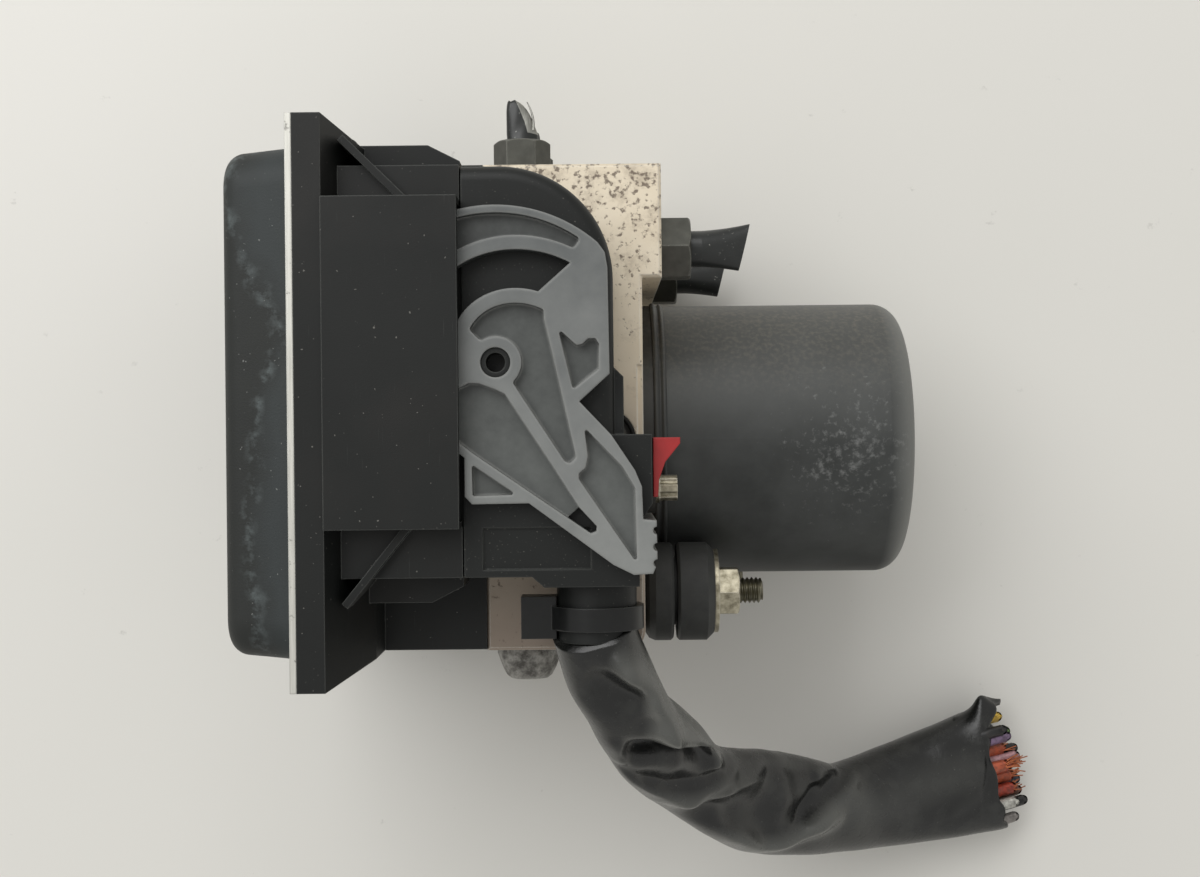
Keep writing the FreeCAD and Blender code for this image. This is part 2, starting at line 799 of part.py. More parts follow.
def motor_bearings():
    """Three plain bearings: in the block, in the brush plate and in the can."""
    across = (0, motor_axis_z)
    chamber_x = motor_face_x - chamber_depth
    end_x = motor_face_x + can_length
    bore_r = shaft_r + fit_gap
    return Part.makeCompound([
        ring("x", across, (chamber_x - end_bearing_width, chamber_x), end_bearing_r - fit_gap,
             shaft_end_r + fit_gap),
        ring("x", across, (motor_face_x, motor_face_x + front_bearing_width), front_bearing_r, bore_r),
        ring("x", across, (end_x - rear_bearing_width, end_x), rear_bearing_r, bore_r),
    ])


def motor_seal():
    """Lip seal between the pump chamber and the motor."""
    span = (motor_face_x - seal_thickness, motor_face_x)
    return ring("x", (0, motor_axis_z), span, chamber_r - fit_gap, shaft_r + seat_gap)


def commutator():
    """Copper commutator on the shaft."""
    low = motor_face_x + commutator_start
    span = (low, low + commutator_length)
    return ring("x", (0, motor_axis_z), span, commutator_r, shaft_r + fit_gap)


def armature_slot_tools(span, width, depth, floor_r):
    """Bars that cut or fill the slots round the armature."""
    tools = []
    for i in range(armature_slots):
        bar = box(span, (-width / 2, width / 2), (floor_r, floor_r + depth))
        bar.rotate(V(0, 0, 0), AXES["x"], 360 * i / armature_slots)
        bar.translate(V(0, 0, motor_axis_z))
        tools.append(bar)
    return tools


def armature():
    """Slotted iron stack of the rotor."""
    low = motor_face_x + armature_start
    span = (low, low + armature_length)
    stack = ring("x", (0, motor_axis_z), span, armature_r, shaft_r + fit_gap)
    return stack.cut(armature_slot_tools(span, slot_width, slot_depth + 1, armature_r - slot_depth))


def windings():
    """Copper coils: bars in the slots, joined by a ring at each end of the stack."""
    low = motor_face_x + armature_start
    high = low + armature_length
    across = (0, motor_axis_z)
    floor_r = armature_r - slot_depth
    top_r = armature_r - 1.0
    end_r = (top_r + coil_end_lip, floor_r - coil_end_lip)
    ends = [
        ring("x", across, (low - coil_end_height - fit_gap, low - fit_gap), *end_r),
        ring("x", across, (high + fit_gap, high + coil_end_height + fit_gap), *end_r),
    ]
    span = (low - 1.0, high + 1.0)
    width = slot_width - 2 * fit_gap
    depth = top_r - floor_r - fit_gap - 0.5
    return joined(ends + armature_slot_tools(span, width, depth, floor_r + fit_gap))


def motor_magnets():
    """Four curved magnets round the armature, seated on the can's wall."""
    low = motor_face_x + armature_start - 1.0
    span = (low, low + armature_length + 2.0)
    outer_r = can_r - can_wall - fit_gap
    inner_r = armature_r + rotor_air_gap
    magnets = ring("x", (0, motor_axis_z), span, outer_r, inner_r)
    gaps = []
    for i in range(2):
        slot = box(span, (-3.0, 3.0), (-outer_r - 1, outer_r + 1))
        slot.rotate(V(0, 0, 0), AXES["x"], 45 + 90 * i)
        slot.translate(V(0, 0, motor_axis_z))
        gaps.append(slot)
    return magnets.cut(gaps)


def brush_places():
    """The two sides that carry a brush, as signs of Y."""
    return (1, -1)


def brush_limits(side, near, far, half_z, x):
    """Box reaching out from the commutator on one side."""
    y = sorted((side * near, side * far))
    return box(x, y, (motor_axis_z - half_z, motor_axis_z + half_z))


def brush_x():
    """Where the brushes lie along the commutator."""
    middle = motor_face_x + commutator_start + commutator_length / 2
    return (middle - brush_size / 2, middle + brush_size / 2)


def brushes():
    """Two carbon brushes, just off the commutator."""
    near = commutator_r + seat_gap
    return Part.makeCompound([
        brush_limits(side, near, near + brush_length, brush_size / 2, brush_x())
        for side in brush_places()
    ])


def brush_plate():
    """Moulded plate that carries the front bearing and the two brush boxes."""
    span = (motor_face_x, motor_face_x + brush_plate_thickness)
    plate = rod("x", (0, motor_axis_z), span, brush_plate_r)
    x = brush_x()
    near = commutator_r + 1.5
    far = commutator_r + seat_gap + brush_length + 1.5
    wall = 1.4
    boxes = [
        brush_limits(side, near, far, brush_size / 2 + wall, (span[1] - 0.5, x[1] + wall))
        for side in brush_places()
    ]
    tunnels = [
        brush_limits(side, near - 1, far - 1.5 + fit_gap, brush_size / 2 + fit_gap,
                     (x[0] - fit_gap, x[1] + fit_gap))
        for side in brush_places()
    ]
    holes = [rod("x", place, span, lead_sleeve_r + fit_gap) for place in lead_places()]
    holes.append(rod("x", (0, motor_axis_z), span, front_bearing_r + fit_gap))
    return joined([plate] + boxes).cut(tunnels + holes)


def motor_lead_sleeves():
    """Insulating sleeves that lead the motor's supply through the block."""
    span = (ecu_face_x - socket_wall, motor_face_x + brush_plate_thickness)
    return Part.makeCompound([
        ring("x", place, span, lead_sleeve_r, lead_r + fit_gap) for place in lead_places()
    ])


def motor_leads():
    """Brass supply pins from the brush plate to the control unit."""
    span = (ecu_face_x - socket_wall - lead_reach, motor_face_x + brush_plate_thickness + 1.0)
    return Part.makeCompound([rod("x", place, span, lead_r) for place in lead_places()])


def mount_rubbers():
    """Grooved rubber bushes that the car's bracket slips into."""
    x0 = motor_face_x
    bushes = []
    for y, z in stud_places():
        groove = rubber_groove_x
        profile = [
            (0, rubber_bore_r),
            (0, rubber_r - 2.5),
            (1.2, rubber_r - 0.6),
            (2.6, rubber_r),
            (groove - 0.6, rubber_r),
            (groove, rubber_r - 0.6),
            (groove, rubber_groove_r),
            (groove + rubber_groove_width, rubber_groove_r),
            (groove + rubber_groove_width, rubber_r - 0.6),
            (groove + rubber_groove_width + 0.6, rubber_r),
            (rubber_length - 1.6, rubber_r),
            (rubber_length, rubber_r - 1.6),
            (rubber_length, rubber_bore_r),
        ]
        bushes.append(turned(profile, V(x0, y, z), "x"))
    return Part.makeCompound(bushes)


def mount_sleeves():
    """Steel spacers inside the rubber, clamped by the nuts."""
    span = (motor_face_x, motor_face_x + rubber_length)
    return Part.makeCompound([
        ring("x", place, span, rubber_bore_r - fit_gap, stud_r + fit_gap) for place in stud_places()
    ])


def nut_seat_x():
    """Face of the washers that the mount nuts press on."""
    return motor_face_x + rubber_length + mount_washer_thickness


def mount_washers():
    """Flat washers outside the rubbers."""
    span = (motor_face_x + rubber_length, nut_seat_x())
    return Part.makeCompound([
        ring("x", place, span, mount_washer_r, stud_core_r + fit_gap) for place in stud_places()
    ])


def mount_nuts():
    """Hexagon nuts on the studs; inside them the studs are drawn at their core size."""
    nuts = []
    span = (nut_seat_x(), nut_seat_x() + mount_nut_height)
    for place in stud_places():
        nut = hexagon("x", place, span, mount_nut_flats, 30)
        nuts.append(nut.cut(rod("x", place, span, stud_core_r + fit_gap)))
    return Part.makeCompound(nuts)


def mount_studs():
    """Studs screwed into the block, with their free threaded ends."""
    studs = []
    free_x = nut_seat_x() + mount_nut_height
    end_x = free_x + stud_free_length
    for y, z in stud_places():
        core = rod("x", (y, z), (motor_face_x - stud_depth, free_x), stud_core_r)
        tip_x = end_x - 0.6
        free = rod("x", (y, z), (free_x, tip_x), stud_r)
        tip = Part.makeCone(stud_r, stud_r - 0.6, 0.6, V(tip_x, y, z), AXES["x"])
        studs.append(joined([core, free, tip]))
    return Part.makeCompound(studs)


def locator_pin():
    """Pin in the foot of the block that carries the lower bush."""
    span = (block_foot_y - locator_pin_reach, block_foot_y + locator_pin_depth)
    return rod("y", (locator_x, motor_axis_z), span, locator_pin_r)


def locator_bush():
    """Domed rubber bush on the locating pin."""
    end = -locator_bush_length
    inner = locator_pin_r + fit_gap
    profile = [
        (0, inner),
        (0, locator_bush_r - 0.8),
        (-0.8, locator_bush_r),
        (end + 6.0, locator_bush_r),
        (end + 2.6, locator_bush_r - 1.2),
        (end + 0.7, locator_bush_tip_r + 0.9),
        (end, locator_bush_tip_r),
        (end, locator_ring_r + fit_gap),
        (end + 2.0, locator_ring_r + fit_gap),
        (end + 2.0, inner),
    ]
    return turned(profile, V(locator_x, block_foot_y, motor_axis_z), "y")


def locator_ring():
    """Thin metal ring in the mouth of the lower bush."""
    span = (block_foot_y - locator_bush_length, block_foot_y - locator_bush_length + 2.0)
    return ring("y", (locator_x, motor_axis_z), span, locator_ring_r, locator_pin_r + fit_gap)


def housing_x():
    """The coil housing's open end, where the flange begins."""
    return ecu_face_x - housing_depth


def plate_x():
    """Face of the flange that the metal plate lies on."""
    return housing_x() - flange_thickness


def cap_x():
    """Face of the metal plate that the cover and the board lie on."""
    return plate_x() - plate_thickness


def rectangle_wire(x, y, z):
    """Rectangle across X."""
    corners = [V(x, y[0], z[0]), V(x, y[1], z[0]), V(x, y[1], z[1]), V(x, y[0], z[1])]
    return Part.makePolygon(corners + corners[:1])


def inset(limits, amount):
    """Pull both ends of a span in by the same amount."""
    return (limits[0] + amount, limits[1] - amount)


def drafted_box(x, y, z, draft, corner_r):
    """Box that narrows towards its far end along -X, with rounded long corners."""
    body = Part.makeLoft([
        rectangle_wire(x[1], y, z), rectangle_wire(x[0], inset(y, draft), inset(z, draft)),
    ], True, True)
    long_corners = [e for e in body.Edges if e.BoundBox.XLength > (x[1] - x[0]) / 2]
    return body.makeFillet(corner_r, long_corners)


def ecu_cover():
    """Pillowed cover shell, drafted and rounded, open towards the metal plate."""
    y, z = (cap_foot_y, cap_top_y), (cap_low_z, cap_high_z)
    far_x = cap_x() - cap_depth
    shell = drafted_box((far_x, cap_x()), y, z, cap_draft, cap_corner_r)
    rim = [e for e in shell.Edges if abs(e.BoundBox.XMax - far_x) < 0.01]
    shell = shell.makeFillet(cap_edge_r, rim)
    wall = cap_wall
    hollow_x = (far_x + wall, cap_x())
    hollow = drafted_box(hollow_x, inset(y, wall), inset(z, wall), cap_draft + 1, cap_corner_r - wall)
    return shell.cut(hollow)


def ecu_plate():
    """Aluminium sheet between the cover and the housing, with a slot for the pins."""
    sheet = box((cap_x(), plate_x()), (flange_foot_y, flange_top_y), (0, flange_top_z))
    spread = (pins_per_row - 1) / 2 * pin_pitch + 2.0
    slot_y = (plug_axis_y - spread, plug_axis_y + spread)
    slot = box((cap_x(), plate_x()), slot_y, (pin_rows_z[0] - 2.0, pin_rows_z[1] + 2.0))
    return sheet.cut(slot)


def circuit_board():
    """Circuit board bonded to the metal plate, inside the cover."""
    margin = cap_wall + board_margin
    y = inset((cap_foot_y, cap_top_y), margin)
    z = inset((cap_low_z, cap_high_z), margin)
    return box((cap_x() - board_thickness, cap_x()), y, z)


def board_components():
    """Capacitors, power stages and the processor on the board."""
    x = cap_x() - board_thickness
    middle_y, middle_z = (cap_foot_y + cap_top_y) / 2, (cap_low_z + cap_high_z) / 2
    pieces = []
    for y, z in ((-36.0, -34.0), (-36.0, -18.0), (-20.0, -34.0)):
        place = (middle_y + y, middle_z + z)
        pieces.append(rod("x", place, (x - 8.0, x), 5.0))
    for y, z, width, height in ((12, -4, 20, 20), (-18, 6, 12, 14), (32, -34, 14, 10), (30, 20, 9, 12)):
        near_y, near_z = middle_y + y, middle_z + z
        pieces.append(box((x - 1.8, x), (near_y, near_y + width), (near_z, near_z + height)))
    return Part.makeCompound(pieces)


def pin_places():
    """Contacts of the harness socket, as (Y, Z)."""
    places = []
    for z in pin_rows_z:
        for i in range(pins_per_row):
            places.append((plug_axis_y + (i - (pins_per_row - 1) / 2) * pin_pitch, z))
    return places


def header_pins():
    """Square contact pins through the back of the socket to the circuit board."""
    half = pin_size / 2
    span = (cap_x(), housing_x() + pin_reach)
    return Part.makeCompound([
        box(span, (y - half, y + half), (z - half, z + half)) for y, z in pin_places()
    ])


def socket_cavity():
    """Space inside the harness socket, with pockets above and below for the lever's cheeks."""
    back_x = housing_x() + socket_wall
    main_y = inset((socket_foot_y, socket_top_y), socket_wall)
    main_z = (plug_low_z() - seat_gap, socket_top_z - socket_wall + seat_gap)
    half = tier_half_height - tier_wall
    tier_y = (plug_axis_y - half, plug_axis_y + half)
    return [
        box((back_x, socket_mouth_x), main_y, main_z),
        box((back_x, socket_mouth_x), tier_y, (socket_floor_z, tier_top_z - tier_roof)),
    ]


def plug_low_z():
    """Underside of the contact carrier."""
    return cover_low_z + cover_wall + seat_gap


def plug_high_z():
    """Top of the contact carrier."""
    return socket_top_z - socket_wall - seat_gap


def ecu_housing():
    """One moulding: flange, funnel, coil housing and harness socket with its ridges and pegs."""
    coil_x = (housing_x(), ecu_face_x)
    coil_y, coil_z = (housing_foot_y, housing_top_y), (0, block_depth)
    flange = box((plate_x(), housing_x()), (flange_foot_y, flange_top_y), (0, flange_top_z))
    funnel = Part.makeLoft([
        rectangle_wire(housing_x(), (flange_foot_y, flange_top_y), (0, flange_top_z)),
        rectangle_wire(housing_x() + funnel_length, coil_y, (0, funnel_top_z)),
    ], True, True)
    coil_box = box(coil_x, coil_y, coil_z)
    socket_x = (housing_x(), socket_mouth_x)
    socket = box(socket_x, (socket_foot_y, socket_top_y), (block_depth - housing_wall, socket_top_z))
    tier_y = (plug_axis_y - tier_half_height, plug_axis_y + tier_half_height)
    tier = box(socket_x, tier_y, (block_depth - housing_wall, tier_top_z))
    pieces = [flange, funnel, coil_box, socket, tier]
    for side, edge_y in ((1, socket_top_y), (-1, socket_foot_y)):
        out = edge_y + side * ridge_reach
        ridge = [
            (housing_x() + 5.0, edge_y - side), (housing_x() + 5.0, out),
            (housing_x() + 19.0, out), (socket_mouth_x - 0.8, edge_y + side * ridge_reach * 0.45),
            (socket_mouth_x - 0.8, edge_y - side),
        ]
        pieces.append(prism(ridge, (ridge_low_z, ridge_high_z)))
        boss_y = edge_y + side * (ridge_reach - 0.8)
        pieces.append(rod("z", (boss_x, boss_y), (ridge_low_z, ridge_high_z + 2.0), boss_r))
        foot = (boss_x + 12.5, plug_axis_y + side * (tier_half_height - 0.2))
        head = (boss_x, boss_y)
        turn = math.atan2(head[1] - foot[1], head[0] - foot[0])
        aside = (brace_thickness / 2 * math.sin(turn), -brace_thickness / 2 * math.cos(turn))
        brace = [
            (foot[0] + aside[0], foot[1] + aside[1]), (head[0] + aside[0], head[1] + aside[1]),
            (head[0] - aside[0], head[1] - aside[1]), (foot[0] - aside[0], foot[1] - aside[1]),
        ]
        pieces.append(prism(brace, (ridge_high_z - 1.0, brace_top_z)))
    body = joined(pieces)
    floor_x = ecu_face_x - socket_wall
    board_y = inset((flange_foot_y, flange_top_y), 2 * flange_wall)
    board_z = (flange_wall, flange_top_z - 8.0)
    coil_room_z = (housing_wall, block_depth - housing_wall - socket_wall)
    cuts = [
        box((plate_x(), housing_x() - socket_wall), board_y, board_z),
        box((housing_x() - socket_wall, floor_x), inset(coil_y, housing_wall), coil_room_z),
        *socket_cavity(),
    ]
    for y, z in valve_places():
        cuts.append(rod("x", (y, z), (floor_x, ecu_face_x), valve_seat_r))
    for place in lead_places():
        cuts.append(rod("x", place, (floor_x, ecu_face_x), lead_sleeve_r + fit_gap))
    cuts.append(gasket_solid(fit_gap))
    body = body.cut(cuts)
    tubes = [
        rod("x", place, (floor_x - screw_tube_length, ecu_face_x), screw_tube_r)
        for place in screw_places()
    ]
    body = joined([body] + tubes)
    peg_x = pivot_x - slot_start_r
    roof_z = tier_top_z - tier_roof
    pegs = [
        rod("z", (peg_x, plug_axis_y), (lever_high_z[0] + seat_gap, roof_z + 0.5), peg_r),
        rod("z", (peg_x, plug_axis_y), (socket_floor_z - 0.5, lever_low_z[1] - seat_gap), peg_r),
    ]
    body = joined([body] + pegs)
    tools = []
    for place in screw_places():
        tools.append(rod("x", place, (floor_x - screw_tube_length, ecu_face_x), screw_r + fit_gap))
        head_span = (plate_x(), floor_x - screw_tube_length)
        tools.append(rod("x", place, head_span, screw_head_r + fit_gap))
    return body.cut(tools + [header_pins()])


def gasket_solid(play):
    """Rectangular gasket ring between housing and block, grown by the play of its groove."""
    x = (ecu_face_x - gasket_thickness, ecu_face_x)
    y = inset((housing_foot_y, housing_top_y), screw_inset + screw_tube_r + gasket_gap - play)
    z = inset((0, block_depth), gasket_inset - play)
    width = gasket_width + 2 * play
    return box(x, y, z).cut(box(x, inset(y, width), inset(z, width)))


def ecu_seal():
    """Gasket between the control unit and the block."""
    return gasket_solid(0)


def ecu_screws():
    """Four screws that hold the control unit on the block."""
    head_x = ecu_face_x - socket_wall - screw_tube_length
    screws = []
    for place in screw_places():
        shank = rod("x", place, (head_x, ecu_face_x + screw_grip), screw_r)
        head = rod("x", place, (head_x - screw_head_height, head_x), screw_head_r)
        screws.append(joined([shank, head]))
    return Part.makeCompound(screws)


def cover_outline(margin):
    """The plug cover seen from above, drawn in by a margin; one corner is a large arc."""
    left, right = socket_mouth_x + seat_gap, cover_right_x - margin
    top, foot = socket_top_y - margin, socket_foot_y + margin
    r = cover_corner_r - margin
    centre = V(cover_right_x - cover_corner_r, socket_top_y - cover_corner_r, 0)
    middle = centre + V(r * math.sqrt(0.5), r * math.sqrt(0.5), 0)
    start, end = V(centre.x, top, 0), V(right, centre.y, 0)
    return Part.Wire([
        Part.makeLine(V(left, foot, 0), V(left, top, 0)),
        Part.makeLine(V(left, top, 0), start),
        Part.Arc(start, middle, end).toShape(),
        Part.makeLine(end, V(right, foot, 0)),
        Part.makeLine(V(right, foot, 0), V(left, foot, 0)),
    ])


def cover_prism(margin, z):
    """Straight solid over the plug cover's outline."""
    face = Part.Face(cover_outline(margin))
    face.translate(V(0, 0, z[0]))
    return face.extrude(V(0, 0, z[1] - z[0]))


def plug_cover():
    """Hood of the plug: rounded shell, cable outlet, side fin and the catch that the lock rides on."""
    z = (cover_low_z, socket_top_z)
    shell = cover_prism(0, z)
    upper = [
        e for e in shell.Edges
        if abs(e.BoundBox.ZMin - z[1]) < 0.01
        and e.BoundBox.YMax > plug_axis_y
        and e.BoundBox.XMax > socket_mouth_x + 1
    ]
    shell = shell.makeFillet(cover_edge_r, upper)
    step = foot_box_step_x
    foot_box = prism([
        (step - 2.4, foot_box_top_y), (step - 2.4, socket_foot_y), (step, foot_box_foot_y),
        (foot_box_right_x, foot_box_foot_y), (foot_box_right_x, foot_box_top_y),
    ], z)
    outlet = rod("y", (outlet_x, outlet_z), (outlet_end_y, foot_box_foot_y + 1), outlet_r)
    fin_y = (fin_foot_y, fin_foot_y + fin_height)
    fin = prism([
        (cover_right_x - 1, fin_y[0]), (cover_right_x + fin_thickness, fin_y[0]),
        (cover_right_x + fin_thickness, fin_y[1] - fin_thickness), (cover_right_x, fin_y[1]),
        (cover_right_x - 1, fin_y[1]),
    ], (cover_low_z, fin_top_z))
    bevel = catch_bevel
    catch = prism([
        (cover_right_x - 1, catch_foot_y), (catch_right_x - bevel * 0.7, catch_foot_y),
        (catch_right_x, catch_foot_y + bevel), (catch_right_x, catch_top_y),
        (catch_left_x, catch_top_y), (cover_right_x - 1, catch_top_y),
    ], z)
    body = joined([shell, foot_box, outlet, fin, catch])
    wall = cover_wall
    room_z = inset(z, wall)
    box_room_y = inset((foot_box_foot_y, foot_box_top_y), wall)
    box_room = box((step, foot_box_right_x - wall), box_room_y, room_z)
    tunnel_y = (outlet_end_y, foot_box_foot_y + wall + 1)
    tunnel = rod("y", (outlet_x, outlet_z), tunnel_y, outlet_r - outlet_wall)
    rail_z = (lock_rail_low_z - seat_gap, lock_rail_high_z + seat_gap)
    rail_x = (catch_right_x - lock_rail_depth - seat_gap, catch_right_x)
    rail = box(rail_x, (catch_foot_y, catch_top_y), rail_z)
    panel_y = (foot_box_foot_y + 3.6, foot_box_top_y - 2.6)
    panel = box((socket_mouth_x + 4.0, outlet_x - 1.0), panel_y, (z[1] - panel_depth, z[1]))
    body = body.cut([cover_prism(wall, room_z), box_room, tunnel, rail, panel])
    pin_top = lever_high_z[1] - 0.6
    pins = [
        rod("z", (pivot_x, plug_axis_y), (z[1] - wall, pin_top), pivot_pin_r),
        rod("z", (pivot_x, plug_axis_y), (lever_low_z[0] + 0.1, z[0] + wall), pivot_pin_r),
    ]
    bore_z = (pin_top - pivot_pin_bore_depth, pin_top)
    bore = rod("z", (pivot_x, plug_axis_y), bore_z, pivot_pin_bore_r)
    return joined([body] + pins).cut(bore)


def plug_housing():
    """Contact carrier that slides into the socket, with a chamber for each contact."""
    y = inset((socket_foot_y, socket_top_y), socket_wall + seat_gap)
    z = (plug_low_z(), plug_high_z())
    body = box((carrier_back_x, carrier_front_x), y, z)
    keep = cover_prism(cover_wall + seat_gap, z)
    inside = box((carrier_back_x, socket_mouth_x + seat_gap), y, z)
    body = body.common(inside.fuse(keep))
    half = terminal_size / 2 + fit_gap
    chamber_x = (carrier_back_x, carrier_back_x + terminal_length + 1.2)
    chambers = [
        box(chamber_x, (py - half, py + half), (pz - half, pz + half)) for py, pz in pin_places()
    ]
    band_x = (carrier_back_x + 14.0, carrier_back_x + 14.0 + seal_width())
    groove = box(band_x, y, z).cut(box(band_x, inset(y, seal_band), inset(z, seal_band)))
    return body.cut(chambers + [groove])


def seal_width():
    """Length of the plug's seal along its travel."""
    return 3 * seal_band


def plug_seal():
    """Silicone band round the contact carrier."""
    y = inset((socket_foot_y, socket_top_y), socket_wall + seat_gap)
    z = (plug_low_z(), plug_high_z())
    start = carrier_back_x + 14.0 + fit_gap
    band_x = (start, start + seal_width() - 2 * fit_gap)
    return box(band_x, y, z).cut(box(band_x, inset(y, seal_band), inset(z, seal_band)))


def wire_terminals():
    """Box contacts at the end of the wires, each open towards its pin."""
    half = terminal_size / 2
    bore = pin_size / 2 + fit_gap
    start = carrier_back_x + 1.0
    pieces = []
    for y, z in pin_places():
        body = box((start, start + terminal_length), (y - half, y + half), (z - half, z + half))
        slot = box((start, start + terminal_length - 2.0), (y - bore, y + bore), (z - bore, z + bore))
        pieces.append(body.cut(slot))
    return Part.makeCompound(pieces)


def wire_bundle():
    """Bundle of wires inside the hood, from the carrier round to the cable outlet."""
    path = route_path("wire bundle", bundle_route)
    section = Part.Wire(Part.Circle(V(*bundle_route[0]), AXES["x"], bundle_r).toShape())
    return path.makePipeShell([section], True, False)


def cable_tie():
    """Tie round the outlet, with its ratchet head at the side."""
    span = (tie_y - tie_width / 2, tie_y + tie_width / 2)
    inner = outlet_r + fit_gap
    band = ring("y", (outlet_x, outlet_z), span, inner + tie_thickness, inner)
    head_x = outlet_x - inner
    head_y = (tie_y - tie_head_height / 2, tie_y + tie_head_height / 2)
    head_z = (outlet_z - tie_head_depth / 2, outlet_z + tie_head_depth / 2)
    head = box((head_x - tie_head_width, head_x), head_y, head_z)
    bore = rod("y", (outlet_x, outlet_z), head_y, inner)
    return joined([band, head.cut(bore)])


def slot_radius(angle):
    """Distance of the cam slot's centre line from the pivot at an angle in radians."""
    return slot_start_r + slot_rise * (math.pi - angle)


def at_pivot(radius, degrees):
    """Point round the lever's pivot."""
    angle = math.radians(degrees)
    return (pivot_x + radius * math.cos(angle), plug_axis_y + radius * math.sin(angle))


def near_pivot(points):
    """Outline drawn from the lever's pivot, moved to its place."""
    return [(pivot_x + x, plug_axis_y + y) for x, y in points]


def spiral(offset, start, end, step):
    """Points along the cam spiral, set off from the slot's centre line."""
    count = max(1, round(abs(end - start) / step))
    angles = [start + (end - start) * i / count for i in range(count + 1)]
    return [at_pivot(slot_radius(math.radians(a)) + offset, a) for a in angles]


def smooth(points):
    """Curve through points in the plane."""
    curve = Part.BSplineCurve()
    curve.interpolate([V(x, y, 0) for x, y in points])
    return curve.toShape()


def raised(wire, z):
    """Solid between two heights over a closed wire drawn at zero."""
    face = Part.Face(wire)
    face.translate(V(0, 0, z[0]))
    return face.extrude(V(0, 0, z[1] - z[0]))


def straight(*points):
    """Run of straight edges through points."""
    return [Part.makeLine(V(*a, 0), V(*b, 0)) for a, b in zip(points, points[1:])]


def arc_edge(radius, start, end):
    """Arc round the pivot between two angles."""
    ends = [V(*at_pivot(radius, a), 0) for a in (start, (start + end) / 2, end)]
    return Part.Arc(*ends).toShape()


def cheek_outline():
    """Outline of one cheek: rim arc, straight back, arms to the grip and the lower loop."""
    rim_start, rim_end, back_start, back_end = 49.0, 118.0, 146.0, 218.0
    rim = arc_edge(lever_rim_r, rim_start, rim_end)
    back = arc_edge(lever_back_r, back_start, back_end)
    right_side = near_pivot([
        (22.3, -2.4), (16.3, -7.8), (22.5, -14.4), (27.1, -21.4), (28.4, -24.6),
        (28.6, -31.0), (31.2, -31.2), (31.3, -39.6), (30.4, -41.6), (26.7, -41.8),
        (22.7, -39.8), (6.3, -27.6), (-4.8, -27.7), (-6.2, -26.2), (-6.2, -18.6),
    ])
    shoulder = near_pivot([(21.6, 21.3), (22.1, 18.3)])
    edges = [rim]
    edges += straight(at_pivot(lever_rim_r, rim_end), at_pivot(lever_back_r, back_start))
    edges.append(back)
    edges += straight(at_pivot(lever_back_r, back_end), *reversed(right_side), *reversed(shoulder),
                      at_pivot(lever_rim_r, rim_start))
    return Part.Wire(Part.__sortEdges__(edges))


def slot_wire():
    """Cam slot: two spirals, a round start for the peg and a slanted end."""
    start, step = 180.0, 12.0
    inner = spiral(-slot_half_width, start, slot_inner_end, step)
    outer = spiral(slot_half_width, start, slot_outer_end, step)
    bottom = at_pivot(slot_start_r, 180.0 + math.degrees(math.asin(slot_half_width / slot_start_r)))
    cap = Part.Arc(V(*inner[0], 0), V(*bottom, 0), V(*outer[0], 0)).toShape()
    edges = [smooth(inner), smooth(outer), cap] + straight(inner[-1], outer[-1])
    return Part.Wire(Part.__sortEdges__(edges))


def rim_channel():
    """Long sunk channel under the rim."""
    start, end = 55.0, 117.0
    inner = spiral(slot_half_width + slot_rib, start, end, 12.0)
    rim_r = lever_rim_r - 1.5
    edges = [smooth(inner), arc_edge(rim_r, start, end)]
    edges += straight(inner[0], at_pivot(rim_r, start))
    edges += straight(inner[-1], at_pivot(rim_r, end))
    return Part.Wire(Part.__sortEdges__(edges))


def hub_pocket():
    """Sunk field between the hub, the inner slot rib and the two long ribs."""
    inner = spiral(-slot_half_width - hub_rib, 47.0, 128.0, 12.0)
    ring_r = lever_ring_r
    ring_end, ring_start = 124.0, -50.0
    ring_arc = arc_edge(ring_r, ring_start, ring_end)
    right = near_pivot([(9.6, 8.4), (11.7, -0.6), (15.6, -18.6), (14.4, -19.9), (13.4, -19.5)])
    edges = [smooth(inner), ring_arc]
    edges += straight(inner[-1], at_pivot(ring_r, ring_end))
    edges += straight(inner[0], *right, at_pivot(ring_r, ring_start))
    return Part.Wire(Part.__sortEdges__(edges))


def sunk_fields():
    """The other sunk fields of the upper cheek, as outlines from the pivot."""
    return [
        [(-8.6, -5.6), (-5.2, -4.0), (-3.2, -4.1), (0.0, -5.3), (1.8, -6.2), (11.4, -21.0),
         (16.1, -28.5), (19.5, -32.2), (19.4, -33.2), (18.3, -33.6), (13.8, -30.5),
         (-4.5, -17.8), (-8.6, -14.6)],
        [(12.3, 6.5), (15.9, 3.2), (17.0, 3.4), (18.2, 4.5), (19.6, 4.5), (20.3, 3.4),
         (20.2, -1.4), (15.1, -5.4)],
        [(17.2, -12.8), (22.4, -18.3), (24.6, -20.6), (27.1, -24.9), (27.3, -39.6),
         (16.1, -23.0), (16.1, -21.9), (17.4, -20.8), (17.9, -18.5)],
        [(-4.8, -19.9), (-4.7, -26.1), (3.9, -25.9)],
    ]


